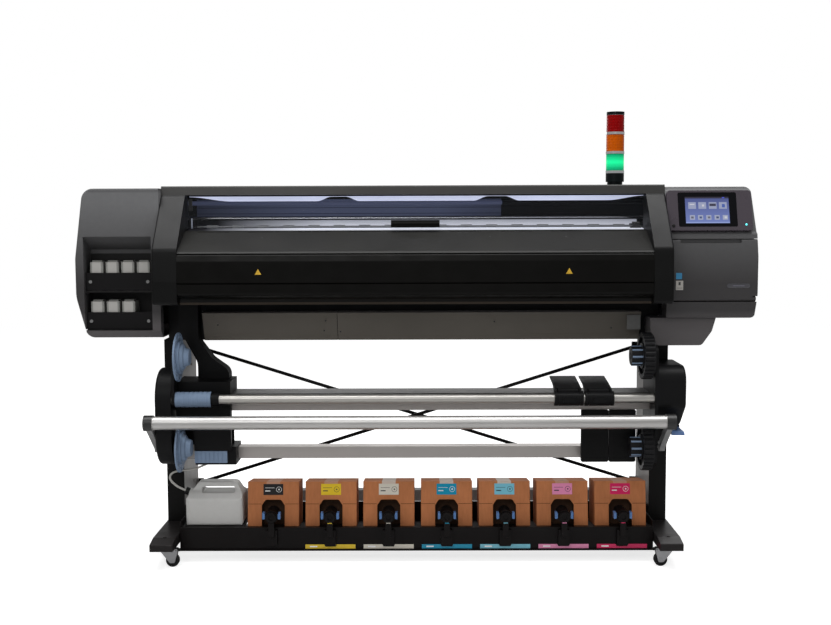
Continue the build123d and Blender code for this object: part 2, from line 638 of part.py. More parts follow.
def top_cover():
    """Long top bar running over into the rear cover, with louvres in the back."""
    z = TOP_Z
    low = STAND_Z + 149
    cover = prism_x([(-205, z - 34), (-200, z, 7), (REAR_Y - 80, z, 70), (REAR_Y, z - 150, 70),
                     (REAR_Y, low), (REAR_Y - SKIN, low), (REAR_Y - SKIN, z - 152, 66),
                     (REAR_Y - 82, z - SKIN, 66), (-150, z - SKIN), (-160, z - 34)], END_L, END_R)
    for i in range(12):
        x = END_L + 150 + i * (END_R - END_L - 300) / 11
        for k in range(4):
            cover -= block(x - 40, x + 40, REAR_Y - 20, REAR_Y + 5, STAND_Z + 200 + 24 * k,
                           STAND_Z + 208 + 24 * k)
    return cover


def side_cheek(side):
    """Pillar between the print opening and a side module."""
    end = END_R if side > 0 else END_L
    inner = side * OPENING
    z = STAND_Z
    x0 = min(inner, end)
    x1 = max(inner, end)
    body = prism_x([(-160, z + 154), (-386, z + 154, 14), (-388, z + 240), (-380, z + 356, 26),
                    (-214, TOP_Z - 40, 40), (-205, TOP_Z - 34), (-160, TOP_Z - 34)], x0, x1)
    outward = [e for e in body.edges().filter_by(Axis.X, reverse=True)
               if abs(e.center().X - end) < 0.1 and e.center().Y < -200]
    body = fillet(outward, 7)
    hollow = prism_x([(-150, z + 160), (-378, z + 160), (-380, z + 240), (-373, z + 350),
                      (-216, TOP_Z - 52), (-150, TOP_Z - 42)], x0 + 6, x1 - 6)
    body -= hollow
    pin = inner + side * 5
    body -= cyl_x(min(inner, pin) - 1, max(inner, pin), WINDOW_Y, WINDOW_Z, HINGE_R + RUN)
    return body


def lower_panels():
    """Two folded panels under the curing module, screwed to the floor beam."""
    solids = []
    z = STAND_Z
    for x0, x1 in ((-815.0, -301.0), (-299.0, 858.0)):
        panel = prism_x([(-200, z + 111, 3), (-150, z, 3), (-130, z), (-130, z + 3), (-148, z + 3),
                         (-196, z + 108), (-130, z + 108), (-130, z + 111)], x0, x1)
        count = max(2, round((x1 - x0) / 380))
        for i in range(count):
            x = x0 + 40 + i * (x1 - x0 - 80) / (count - 1)
            panel += Pos(x, -156, z + 14) * Rot(114, 0, 0) * Cylinder(4, 3)
            panel += Pos(x, -192, z + 94) * Rot(114, 0, 0) * Cylinder(4, 3)
        solids.append(panel)
    return solids


def output_table():
    """Sloping table that the print leaves over."""
    z = PLATEN_Z
    half = OPENING - 0.5
    table = prism_x([(-218, z - 8), (-370, z - 83, 6), (-378, z - 89), (-374, z - 91),
                     (-222, z - 16), (-218, z - 16)], -half, half)
    for i in range(9):
        x = (i - 4) * 190.0
        table -= block(x - 60, x + 60, -230, -226, z - 30, z + 5)
    return table


def curing_module():
    """Hot-air curing housing under the table, with fans and two heater rods inside."""
    z = PLATEN_Z
    half = OPENING - 0.5
    outer = [(-224, z - 17), (-374, z - 91), (-381, z - 97, 4), (-386, z - 118, 20), (-386, z - 196),
             (-381, z - 199), (-386, z - 202), (-386, z - 240, 16), (-350, z - 256, 26),
             (-338, z - 279), (-224, z - 279)]
    inner = [(-227, z - 22), (-371, z - 93), (-383, z - 120, 16), (-383, z - 195), (-378, z - 199),
             (-383, z - 203), (-383, z - 238, 14), (-348, z - 253, 22), (-335, z - 276), (-227, z - 276)]
    body = prism_x(outer, -half, half) - prism_x(inner, -half - 1, half + 1)
    for i in range(9):
        x = (i - 4) * 190.0
        body += cyl_z(x, -290, z - 276, z - 250, 38) - cyl_z(x, -290, z - 280, z - 240, 34)
        body += block(x - 5, x + 5, -330, -227, z - 276, z - 264)
        body += cyl_z(x, -290, z - 276, z - 256, 10)
        body += block(x - 3, x + 3, -300, -280, z - 260, z - 150)
    for y, h in ((-296, z - 158), (-284, z - 176)):
        body += cyl_x(-half, half, y, h, 5)
    return body


def front_window():
    """Clear hinged window with a moulded grip at its lower edge."""
    half = OPENING - 2
    y = WINDOW_Y
    z = WINDOW_Z
    low = PLATEN_Z + 3
    glass = prism_x([(y - 4, z + 4, 2), (y - 30, low), (y - 26, low), (y + 3, z + 4, 2)], -half, half)
    glass += prism_x([(y - 36, low), (y - 36, low + 14, 3), (y - 26, low + 26, 3), (y - 24, low)], -91, 91)
    return glass + cyl_x(-half - 5, half + 5, y, z, HINGE_R)


def beacon_body():
    """Signal tower frame: foot, post, three chrome rings and the cap."""
    x = 795.0
    y = 50.0
    z = TOP_Z
    body = block(x - 52, x + 52, y - 40, y + 40, z, z + 6)
    body = fillet(body.edges().filter_by(Axis.Z), 10)
    body += cyl_z(x, y, z + 6, z + 18, 30) + cyl_z(x, y, z + 18, z + 52, 36)
    body += cyl_z(x, y, z + 52, z + 280, 10)
    for k in range(3):
        body += cyl_z(x, y, z + 52 + 76 * k, z + 62 + 76 * k, 36.5)
    return body + cyl_z(x, y, z + 280, z + 293, 35.5)


def beacon_lenses():
    """Three lens rings between the chrome rings, each with fluted walls."""
    solids = []
    for k in range(3):
        z0 = TOP_Z + 62 + 76 * k
        lens = cyl_z(795, 50, z0, z0 + 66, 35)
        lens -= cyl_z(795, 50, z0 - 1, z0 + 67, 28)
        for i in range(24):
            a = math.radians(15 * i)
            lens -= cyl_z(795 + 28 * math.cos(a), 50 + 28 * math.sin(a), z0 - 1, z0 + 67, 2)
        solids.append(lens)
    return solids


# ---------------------------------------------------------------- roll supports
def side_housing():
    """Rounded left end housing of the roll supports."""
    z0 = STAND_Z - 463
    z1 = STAND_Z - 95
    body = prism_x([(-345, z0, 110), (-345, z1, 110), (-120, z1, 110), (-120, z0, 110)], -970, RAIL_L)
    body = fillet(body.edges().group_by(Axis.X)[0], 10)
    body -= prism_x([(-330, z0 + 15, 95), (-330, z1 - 15, 95), (-135, z1 - 15, 95),
                     (-135, z0 + 15, 95)], -972, -966)
    for y, z in ((-232, z0 + 40), (-232, z1 - 40), (-300, (z0 + z1) / 2), (-165, (z0 + z1) / 2)):
        body += cyl_x(-968, -964, y, z, 6)
    body += block(-966, RAIL_L, -150, -119, z0 + 100, z1 - 100)
    return body - block(-980, RAIL_L + 5, LEG_Y0, 0, 0, STAND_Z)


def motor_housing():
    """Right end housing: motor box, side plate and the two hub stub shafts."""
    z = STAND_Z
    body = prism_x([(-120, z - 82, 12), (-345, z - 82, 60), (-345, z - 231, 30), (-250, z - 318, 40),
                    (-120, z - 318)], RAIL_R + 12, RAIL_R + 116)
    body = fillet(body.edges().group_by(Axis.X)[-1], 8)
    plate = prism_x([(-120, z - 463), (-345, z - 463, 60), (-345, z + 1 - 5, 40), (-255, z - 4, 40),
                     (-255, z - 95, 20), (-120, z - 95)], RAIL_R, RAIL_R + 12)
    body += plate
    for zz in (HUB_Z_HI, HUB_Z_LO):
        body += cyl_x(RAIL_R - 4, RAIL_R, HUB_Y, zz, 40)
        body += cyl_x(RAIL_R - 86, RAIL_R, HUB_Y, zz, STUB_R)
    for y, h in ((-300, z - 120), (-160, z - 120), (-300, z - 210), (-160, z - 290)):
        body += cyl_x(RAIL_R + 114, RAIL_R + 119, y, h, 6)
    return body


def roll_beams():
    """Wide aluminium beam, narrow lower beam and the round guide bar."""
    hi0, hi1 = BEAM_HI
    lo0, lo1 = BEAM_LO
    wide = block(RAIL_L, RAIL_R, -250, -125, hi0, hi1)
    wide -= block(RAIL_L - 1, RAIL_R + 1, -247, -128, hi0 + 3, hi1 - 3)
    for z in (hi0 + 18, hi1 - 22):
        wide -= block(RAIL_L - 1, RAIL_R + 1, -251, -248.8, z, z + 4)
    low = block(RAIL_L, RAIL_R, LOW_Y, LOW_Y + 50, lo0, lo1)
    low -= block(RAIL_L - 1, RAIL_R + 1, LOW_Y + 3, LOW_Y + 47, lo0 + 3, lo1 - 3)
    bar = cyl_x(RAIL_L, RAIL_R, BAR_Y, BAR_Z, BAR_R)
    bar -= cyl_x(RAIL_L - 1, RAIL_R + 1, BAR_Y, BAR_Z, BAR_R - 3)
    return wide, low, bar


def edge_clamp(x0):
    """Sleeve on the guide bar with a flap that leans back over the wide beam."""
    x1 = x0 + 107
    body = cyl_x(x0, x1, BAR_Y, BAR_Z, 27.5)
    body += prism_x([(BAR_Y + 4, BAR_Z + 20), (BAR_Y + 10, BAR_Z + 34, 8), (-232, BAR_Z + 46),
                     (-130, BAR_Z + 58), (-130, BAR_Z + 53), (-230, BAR_Z + 40),
                     (BAR_Y + 26, BAR_Z + 12)], x0 + 4, x1 - 4)
    body += block(x0 + 30, x1 - 30, BAR_Y - 33, BAR_Y - 20, BAR_Z - 10, BAR_Z + 10)
    for x in (x0 + 12, x1 - 16):
        body -= cyl_x(x, x + 4, BAR_Y, BAR_Z, 40) - cyl_x(x - 1, x + 5, BAR_Y, BAR_Z, 25.5)
    return body - cyl_x(x0 - 1, x1 + 1, BAR_Y, BAR_Z, BAR_R + RUN)


def upper_slider():
    """Grip and collar on the guide bar, carrying the upper left hub's stub."""
    body = cyl_x(-905, -761, BAR_Y, BAR_Z, 28.5) + cyl_x(-761, -732, BAR_Y, BAR_Z, 24)
    for i in range(7):
        x = -880 + i * 17.0
        body -= cyl_x(x, x + 5, BAR_Y, BAR_Z, 40) - cyl_x(x - 1, x + 6, BAR_Y, BAR_Z, 27)
    body += prism_x([(BAR_Y - 30, BAR_Z - 24, 20), (BAR_Y + 28, BAR_Z - 24, 20), (-292, HUB_Z_HI - 60),
                     (-272, HUB_Z_HI - 20, 20), (-272, HUB_Z_HI + 28, 26), (-328, HUB_Z_HI + 28, 26),
                     (-350, BAR_Z + 60, 30)], -905, -894)
    body += cyl_x(-896, -846, HUB_Y, HUB_Z_HI, STUB_R)
    return body - cyl_x(-906, -731, BAR_Y, BAR_Z, BAR_R + RUN)


def lower_slider():
    """Saddle on the lower beam with its release grip, guard and the lower left hub's stub."""
    lo0, lo1 = BEAM_LO
    rear = LOW_Y + 62
    body = block(-838, -683, -262, rear, lo0 - 12, lo1 + 12)
    body += block(-905, -683, LOW_Y + 51, rear, lo0 - 12, lo1 + 12)
    body += block(-838, -715, -276, -262, lo0 - 2, lo1 - 2)
    body += block(-838, -698, -280, -262, lo1 + 1, STAND_Z - 296)
    body += block(-905, -893, -300, rear, lo0 - 8, lo1 + 30)
    body += block(-905, -700, -200, -192, lo1 + 10, STAND_Z - 296)
    body += cyl_x(-905, -893, HUB_Y, HUB_Z_LO, 34)
    body += cyl_x(-896, -846, HUB_Y, HUB_Z_LO, STUB_R)
    for i in range(7):
        x = -830 + i * 16.0
        body -= block(x, x + 4, -277, -274, lo0, lo1 - 4)
    return body - block(-910, -680, LOW_Y - GAP, LOW_Y + 50 + GAP, lo0 - GAP, lo1 + GAP)


def left_hub(z):
    """Free-turning flanged hub with a tapering core plug."""
    x = -889.0
    body = cyl_x(x, x + 6, HUB_Y, z, HUB_R) + cyl_x(x + 6, x + 16, HUB_Y, z, 62)
    profile = [(0, x + 16), (52, x + 16), (46, x + 26), (CORE_R - 2, x + 30), (30, x + 46), (0, x + 46)]
    face = make_face(Polyline(*[(px, HUB_Y + r) for r, px in profile], close=True))
    cone = revolve(Pos(0, 0, z) * face, Axis((0, HUB_Y, z), (1, 0, 0)))
    body += cone
    for i in range(12):
        a = math.radians(30 * i)
        body -= cyl_x(x - 1, x + 7, HUB_Y + 77 * math.cos(a), z + 77 * math.sin(a), 8)
    return body - cyl_x(x - 1, x + 44, HUB_Y, z, STUB_R + RUN)


def right_hub(z):
    """Driven hub: lobed disc and ribbed core plug."""
    x1 = RAIL_R - 4 - GAP
    body = cyl_x(x1 - 40, x1, HUB_Y, z, GEAR_R - 6)
    for i in range(28):
        a = math.radians(i * 360 / 28)
        body += cyl_x(x1 - 40, x1 - 4, HUB_Y + (GEAR_R - 7) * math.cos(a),
                      z + (GEAR_R - 7) * math.sin(a), 7)
    body -= cyl_x(x1 - 41, x1 - 30, HUB_Y, z, 70) - cyl_x(x1 - 42, x1 - 29, HUB_Y, z, 48)
    body += cyl_x(x1 - 80, x1 - 40, HUB_Y, z, CORE_R - 4)
    for i in range(8):
        a = math.radians(i * 45)
        body += cyl_x(x1 - 78, x1 - 40, HUB_Y + (CORE_R - 4) * math.cos(a),
                      z + (CORE_R - 4) * math.sin(a), 4)
    return body - cyl_x(x1 - 90, x1 + 1, HUB_Y, z, STUB_R + RUN)


def roll_guards():
    """Fixed guards: left box with its cable duct and hose nipple, and two plates at the right."""
    z = STAND_Z
    hi1 = BEAM_HI[1]
    box = block(-904, -698, -280, -250, z - 291, z - 143)
    box += block(-904, -698, -280, -125, hi1, z - 143)
    box -= block(-900, -702, -270, -129, hi1 + 4, z - 147)
    box += prism_y([(-905, z + 144), (-905, z + 50, 60), (-835, z - 80, 60), (-835, z - 143),
                    (-716, z - 143), (-716, z - 110, 40), (-780, z - 64, 50), (-831, z + 5, 50),
                    (-831, z + 144)], -195, -130)
    for k in range(3):
        box += block(-858, -706, -283, -280, z - 280 + 44 * k, z - 272 + 44 * k)
    plates = []
    front = HUB_Y + CORE_R + 4
    back = front + 18
    for x0, x1 in ((626.0, 729.0), (731.0, 832.0)):
        plate = block(x0, x1, front, back, z - 457, BEAM_HI[0])
        plate = fillet(plate.edges().filter_by(Axis.Y), 6)
        plate += block(x0 + 10, x1 - 10, back, LOW_Y, z - 449, z - 412)
        plate -= block(x0 + 14, x1 - 14, front - 1, front + 2, z - 300, z - 270)
        plates.append(plate)
    pipe = cyl_z(-752, -133, SHELF_Z + 216, BEAM_HI[0], 8)
    pipe += cyl_x(-769, -752, -133, SHELF_Z + 224, 6)
    return [box, pipe] + plates


def link_x(x0, x1, a, b, ra, rb):
    """A flat link between two round ends, across X."""
    dy = b[0] - a[0]
    dz = b[1] - a[1]
    span = math.hypot(dy, dz)
    ny = -dz / span
    nz = dy / span
    waist = 0.72
    web = prism_x([(a[0] + ny * ra * waist, a[1] + nz * ra * waist),
                   (b[0] + ny * rb * waist, b[1] + nz * rb * waist),
                   (b[0] - ny * rb * waist, b[1] - nz * rb * waist),
                   (a[0] - ny * ra * waist, a[1] - nz * ra * waist)], x0, x1)
    return web + cyl_x(x0, x1, a[0], a[1], ra) + cyl_x(x0, x1, b[0], b[1], rb)


def tension_bar():
    """Swinging bar across the front: tube, end caps and two arms with their pivot pins."""
    x0 = -966.0
    x1 = 918.0
    top = (TENSION_Y, TENSION_Z)
    low = (SWING_Y, SWING_Z)
    bar = cyl_x(x0, x1, TENSION_Y, TENSION_Z, TENSION_R)
    bar -= cyl_x(x0 - 1, x1 + 1, TENSION_Y, TENSION_Z, TENSION_R - 2.5)
    bar += cyl_x(x0 - 34, x0, TENSION_Y, TENSION_Z, TENSION_R + 4)
    bar += cyl_x(x1, x1 + 36, TENSION_Y, TENSION_Z, TENSION_R + 4)
    bar += link_x(x0 - 30, x0 - 10, top, low, 24, 20)
    bar += link_x(x1 + 8, x1 + 28, top, low, 24, 20)
    bar += cyl_x(x0 - 32, x0 + 8, SWING_Y, SWING_Z, 8)
    bar += cyl_x(RAIL_R + 1, x1 + 30, SWING_Y, SWING_Z, 8)
    return bar


def release_lever():
    """Flat hand lever under the motor housing, on its own pin."""
    x0 = RAIL_R + 62
    x1 = RAIL_R + 110
    z = STAND_Z - 328
    body = cyl_x(x0, x1, -235, z, 7)
    body += prism_x([(-235, z - 4), (-235, z + 4), (-340, z + 3), (-352, z - 6, 3), (-348, z - 10, 3),
                     (-336, z - 4)], x0, x1)
    return body - cyl_x(x0 - 1, x1 + 1, -235, z, 3 + RUN)


def lever_ears():
    """Two ears and the pin that carry the release lever."""
    x0 = RAIL_R + 62
    x1 = RAIL_R + 110
    z = STAND_Z - 328
    ears = block(x0 - 5, x0 - GAP, -244, -226, z - 8, STAND_Z - 318)
    ears += block(x1 + GAP, x1 + 5, -244, -226, z - 8, STAND_Z - 318)
    return ears + cyl_x(x0 - 5, x1 + 5, -235, z, 3)


# ---------------------------------------------------------------- build
os.makedirs("parts", exist_ok=True)
save("stand_feet", foot(-1), foot(1))
save("stand_frame", stand_leg(-1), stand_leg(1), crossbar(), brace_rod(-1), brace_rod(1))
save("ink_shelf", fused([shelf_plate()] + [dock(i) for i in range(BOXES)]))
save("slot_markers", *[slot_marker(i) for i in range(1, BOXES)])
for tag, side, end in (("fl", -1, -1), ("fr", 1, -1), ("rl", -1, 1), ("rr", 1, 1)):
    save("caster_fork_" + tag, caster_fork(side, end, end < 0))
    save("caster_wheel_" + tag, caster_wheel(side, end))
save("brake_pedal_l", brake_pedal(-1))
save("brake_pedal_r", brake_pedal(1))
for i in range(BOXES):
    save("ink_box_" + str(i + 1), ink_box(i))
save("waste_bottle", waste_bottle())
save("waste_hose", waste_hose())

save("chassis", chassis())
save("platen", platen())
save("drive_roller", drive_roller())
save("pinch_rollers", pinch_rollers())
save("carriage", carriage())
save("carriage_belt", belt())
save("drive_pulley", pulley(1))
save("idler_pulley", pulley(-1))
save("cutter", cutter())

save("left_shell", left_shell())
save("ink_tanks", *ink_tanks())
save("right_shell", right_shell())
save("service_door", service_door())
save("screen_bezel", screen_bezel())
save("touch_screen", touch_screen())
save("power_button", power_button())
save("top_cover", top_cover())
save("side_cheeks", side_cheek(-1), side_cheek(1))
save("lower_panel", *lower_panels())
save("output_table", output_table())
save("curing_module", curing_module())
save("front_window", front_window())
save("beacon_body", beacon_body())
save("beacon_lenses", *beacon_lenses())

swing_bore = cyl_x(-972, -957, SWING_Y, SWING_Z, 8 + RUN)
save("side_housing", side_housing() - swing_bore)
swing_bore = cyl_x(RAIL_R - 5, RAIL_R + 13, SWING_Y, SWING_Z, 8 + RUN)
save("motor_housing", motor_housing() + lever_ears() - swing_bore)
save("release_lever", release_lever())
save("roll_beams", *roll_beams())
save("roll_guards", *roll_guards())
save("edge_clamps", edge_clamp(515.0), edge_clamp(628.0))
save("upper_hub_slider", upper_slider())
save("lower_hub_slider", lower_slider())
save("hub_upper_left", left_hub(HUB_Z_HI))
save("hub_lower_left", left_hub(HUB_Z_LO))
save("hub_upper_right", right_hub(HUB_Z_HI))
save("hub_lower_right", right_hub(HUB_Z_LO))
save("tension_bar", tension_bar())
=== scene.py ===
import math

import bpy
import numpy as np
from mathutils import Matrix


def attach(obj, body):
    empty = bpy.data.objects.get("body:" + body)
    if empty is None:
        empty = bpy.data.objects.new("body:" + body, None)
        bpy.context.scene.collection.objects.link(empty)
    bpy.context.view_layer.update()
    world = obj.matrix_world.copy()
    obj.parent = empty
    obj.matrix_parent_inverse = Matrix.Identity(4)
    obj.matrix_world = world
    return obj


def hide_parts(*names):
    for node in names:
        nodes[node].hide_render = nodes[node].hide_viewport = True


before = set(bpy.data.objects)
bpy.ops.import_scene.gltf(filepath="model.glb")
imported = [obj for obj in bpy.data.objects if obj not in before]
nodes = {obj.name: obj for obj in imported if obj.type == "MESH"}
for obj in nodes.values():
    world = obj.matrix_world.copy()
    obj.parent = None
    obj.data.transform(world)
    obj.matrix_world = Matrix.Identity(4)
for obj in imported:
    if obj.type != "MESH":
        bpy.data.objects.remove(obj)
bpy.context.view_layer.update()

# Heights and places, in metres, in the printer's own frame.
TOP = 1.422
STAND = 0.831
SHELF = 0.132
PLATEN = TOP - 0.160
LEFT_X = -1.280
END_L = -0.960
DOOR_FACE = -0.262
CURING_FACE = -0.386
PANEL_FACE = -0.198
REAR_WALL = 0.0795
WINDOW_END = -0.882
COVER_END = 0.344
BOX_PITCH = 0.221
BOX_FIRST = -0.547
SLOT_COLOURS = [(0.012, 0.012, 0.013), (0.72, 0.50, 0.02), (0.62, 0.58, 0.50), (0.0, 0.26, 0.42),
                (0.18, 0.50, 0.62), (0.72, 0.24, 0.42), (0.62, 0.01, 0.10)]


# ------------------------------------------------------------------ shading kit
class Shade:
    """One node material, built from short calls. Everything is worked out from Object coordinates."""

    def __init__(self, name, colour, rough=0.5, metal=0.0):
        self.mat = bpy.data.materials.new(name)
        self.mat.use_nodes = True
        self.tree = self.mat.node_tree
        self.tree.nodes.clear()
        out = self.new("ShaderNodeOutputMaterial")
        self.bsdf = self.new("ShaderNodeBsdfPrincipled")
        self.tree.links.new(self.bsdf.outputs[0], out.inputs[0])
        self.coord = self.new("ShaderNodeTexCoord").outputs["Object"]
        split = self.new("ShaderNodeSeparateXYZ")
        self.tree.links.new(self.coord, split.inputs[0])
        self.x, self.y, self.z = split.outputs
        self.colour = colour
        self.rough = rough
        self.height = None
        self.bsdf.inputs["Metallic"].default_value = metal

    def new(self, kind):
        return self.tree.nodes.new(kind)

    def put(self, socket, value):
        """Link a socket, or set a constant on it."""
        if isinstance(value, bpy.types.NodeSocket):
            self.tree.links.new(value, socket)
        elif isinstance(value, (tuple, list)):
            socket.default_value = tuple(value) + (1.0,) if len(value) == 3 else tuple(value)
        else:
            socket.default_value = value

    def do(self, op, a, b=0.0, c=0.0):
        """One arithmetic node."""
        n = self.new("ShaderNodeMath")
        n.operation = op
        for socket, value in zip(n.inputs, (a, b, c)):
            self.put(socket, value)
        return n.outputs[0]

    def noise(self, scale, detail=3.0, stretch=(1, 1, 1)):
        """Soft noise from 0 to 1, finer with a bigger scale."""
        m = self.new("ShaderNodeMapping")
        m.inputs["Scale"].default_value = stretch
        self.put(m.inputs[0], self.coord)
        n = self.new("ShaderNodeTexNoise")
        n.inputs["Scale"].default_value = scale
        n.inputs["Detail"].default_value = detail
        self.put(n.inputs["Vector"], m.outputs[0])
        return n.outputs[0]

    def step(self, value, lo, hi, a=0.0, b=1.0):
        """Goes from a to b as value goes from lo to hi."""
        n = self.new("ShaderNodeMapRange")
        for k, v in enumerate((value, lo, hi, a, b)):
            self.put(n.inputs[k], v)
        return n.outputs[0]

    def band(self, value, lo, hi):
        """1 where value lies between lo and hi, else 0."""
        return self.do("MULTIPLY", self.do("GREATER_THAN", value, lo), self.do("LESS_THAN", value, hi))

    def all(self, *masks):
        out = masks[0]
        for m in masks[1:]:
            out = self.do("MULTIPLY", out, m)
        return out

    def mix(self, mask, a, b):
        """Colour a where mask is 0, b where it is 1."""
        n = self.new("ShaderNodeMix")
        n.data_type = "RGBA"
        self.put(n.inputs[0], mask)
        self.put(n.inputs[6], a)
        self.put(n.inputs[7], b)
        return n.outputs[2]

    def paint(self, mask, colour, rough=None):
        """Lay another colour over part of the surface."""
        self.colour = self.mix(mask, self.colour, colour)
        if rough is not None:
            keep = self.do("SUBTRACT", 1.0, mask)
            self.rough = self.do("ADD", self.do("MULTIPLY", keep, self.rough), self.do("MULTIPLY", mask, rough))

    def tone(self, value, amount):
        """Lighten and darken the colour a little by a 0 to 1 value."""
        n = self.new("ShaderNodeHueSaturation")
        self.put(n.inputs["Value"], self.step(value, 0.25, 0.75, 1.0 - amount, 1.0 + amount))
        self.put(n.inputs["Color"], self.colour)
        self.colour = n.outputs[0]

    def bump(self, value, depth):
        """Add relief, depth in metres for a value of 1."""
        term = self.do("MULTIPLY", value, depth)
        self.height = term if self.height is None else self.do("ADD", self.height, term)

    def done(self):
        self.put(self.bsdf.inputs["Base Color"], self.colour)
        self.put(self.bsdf.inputs["Roughness"], self.rough)
        if self.height is not None:
            n = self.new("ShaderNodeBump")
            n.inputs["Strength"].default_value = 1.0
            n.inputs["Distance"].default_value = 1.0
            self.put(n.inputs["Height"], self.height)
            self.put(self.bsdf.inputs["Normal"], n.outputs[0])
        return self.mat


def moulded(name, colour, rough=0.45, grain=900.0, depth=0.00006, blotch=0.10, specular=0.12):
    """Spark-eroded plastic: fine grain, faint clouding and handling shine."""
    s = Shade(name, colour, rough)
    s.tone(s.noise(2.2, 4), blotch)
    s.tone(s.noise(60, 2), blotch * 0.35)
    s.rough = s.step(s.noise(7.0, 5), 0.3, 0.7, rough - 0.06, rough + 0.07)
    s.bump(s.noise(grain, 2), depth)
    s.bsdf.inputs["Specular IOR Level"].default_value = specular
    return s


def coated(name, colour, rough=0.4, metal=0.0):
    """Powder coat: orange peel with faint blotches of tone."""
    s = Shade(name, colour, rough, metal)
    s.tone(s.noise(3.0, 5), 0.10)
    s.rough = s.step(s.noise(15.0, 4), 0.3, 0.7, rough - 0.07, rough + 0.08)
    s.bump(s.noise(420, 2), 0.00009)
    s.bsdf.inputs["Specular IOR Level"].default_value = 0.12
    return s


def drawn_metal(name, colour, rough, stretch, metal=1.0):
    """Metal with fine lines along its length."""
    s = Shade(name, colour, rough, metal)
    lines = s.noise(260, 3, stretch)
    s.tone(lines, 0.05)
    s.tone(s.noise(4, 3), 0.06)
    s.rough = s.step(lines, 0.3, 0.7, rough - 0.07, rough + 0.09)
    s.bump(lines, 0.00003)
    return s


def slot_offset(s):
    """Distance in X from the nearest ink slot's centre."""
    shifted = s.do("SUBTRACT", s.x, BOX_FIRST - BOX_PITCH / 2)
    return s.do("SUBTRACT", s.do("FLOORED_MODULO", shifted, BOX_PITCH), BOX_PITCH / 2)


def slot_colour(s, colours):
    """The slot's own colour by X, one step per slot."""
    result = colours[0]
    for i in range(1, len(colours)):
        edge = BOX_FIRST + (i - 0.5) * BOX_PITCH
        result = s.mix(s.do("GREATER_THAN", s.x, edge), result, colours[i])
    return result


def dress(node, mat):
    """Give a CAD node its material."""
    ob = nodes[node]
    ob.data.materials.clear()
    ob.data.materials.append(mat)


def soften(node, width=0.0012, segments=2):
    """Round the node's hard edges a little."""
    b = nodes[node].modifiers.new("soft_edges", "BEVEL")
    b.width = width
    b.segments = segments
    b.limit_method = "ANGLE"
    b.angle_limit = math.radians(40)
    b.use_clamp_overlap = True


# ------------------------------------------------------------------ shapes kit
def surface(name, verts, faces, mat, body="machine", smooth=True, colours=None):
    """A mesh piece from whole arrays, riding on one body. colours is one RGB row for each vertex."""
    me = bpy.data.meshes.new(name)
    verts = np.asarray(verts, np.float32)
    faces = np.asarray(faces, np.int32)
    me.vertices.add(len(verts))
    me.vertices.foreach_set("co", verts.ravel())
    me.loops.add(faces.size)
    me.loops.foreach_set("vertex_index", faces.ravel())
    me.polygons.add(len(faces))
    me.polygons.foreach_set("loop_start", np.arange(0, faces.size, faces.shape[1], dtype=np.int32))
    me.polygons.foreach_set("use_smooth", np.full(len(faces), smooth))
    me.update(calc_edges=True)
    if colours is not None:
        attr = me.color_attributes.new("tint", "FLOAT_COLOR", "POINT")
        attr.data.foreach_set("color", np.c_[colours, np.ones(len(verts))].astype(np.float32).ravel())
    me.validate()
    ob = bpy.data.objects.new(name, me)
    bpy.context.scene.collection.objects.link(ob)
    me.materials.append(mat)
    if body:
        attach(ob, body)
    return ob


BOX_FACES = np.array([[0, 3, 2, 1], [4, 5, 6, 7], [0, 1, 5, 4], [1, 2, 6, 5], [2, 3, 7, 6], [3, 0, 4, 7]])


def blocks(name, corners, mat, body="machine", bevel=0.0006):
    """Many boxes in one piece. corners has rows of x0, x1, y0, y1, z0, z1."""
    c = np.asarray(corners, float).reshape(-1, 6)
    pick = np.array([[0, 2, 4], [1, 2, 4], [1, 3, 4], [0, 3, 4], [0, 2, 5], [1, 2, 5], [1, 3, 5], [0, 3, 5]])
    verts = c[:, pick].reshape(-1, 3)
    faces = (BOX_FACES[None] + 8 * np.arange(len(c))[:, None, None]).reshape(-1, 4)
    ob = surface(name, verts, faces, mat, body, smooth=False)
    if bevel:
        b = ob.modifiers.new("soft_edges", "BEVEL")
        b.width = bevel
        b.segments = 2
    return ob


def turned(name, profiles, mat, body="machine", steps=32):
    """Solids of revolution in one piece.

    Each profile is (centre, axis, rows): rows of (distance along the axis, radius) swept once
    round the axis through the centre. Rows that start and end at radius 0 close the solid."""
    verts, faces, base = [], [], 0
    for centre, axis, rows in profiles:
        axis = np.array(axis, float) / np.linalg.norm(axis)
        side = np.cross(axis, (0.0, 0.0, 1.0) if abs(axis[2]) < 0.9 else (1.0, 0.0, 0.0))
        side /= np.linalg.norm(side)
        up = np.cross(axis, side)
        rows = np.asarray(rows, float)
        turn = np.linspace(0, 2 * np.pi, steps, endpoint=False)
        ring = np.cos(turn)[:, None] * side + np.sin(turn)[:, None] * up
        pts = np.array(centre) + rows[:, 0, None, None] * axis + rows[:, 1, None, None] * ring[None]
        i, j = np.meshgrid(np.arange(len(rows) - 1), np.arange(steps), indexing="ij")
        k = (j + 1) % steps
        quads = np.stack([i * steps + j, i * steps + k, (i + 1) * steps + k, (i + 1) * steps + j], -1)
        verts.append(pts.reshape(-1, 3))
        faces.append(quads.reshape(-1, 4) + base)
        base += len(rows) * steps
    return surface(name, np.vstack(verts), np.vstack(faces), mat, body)


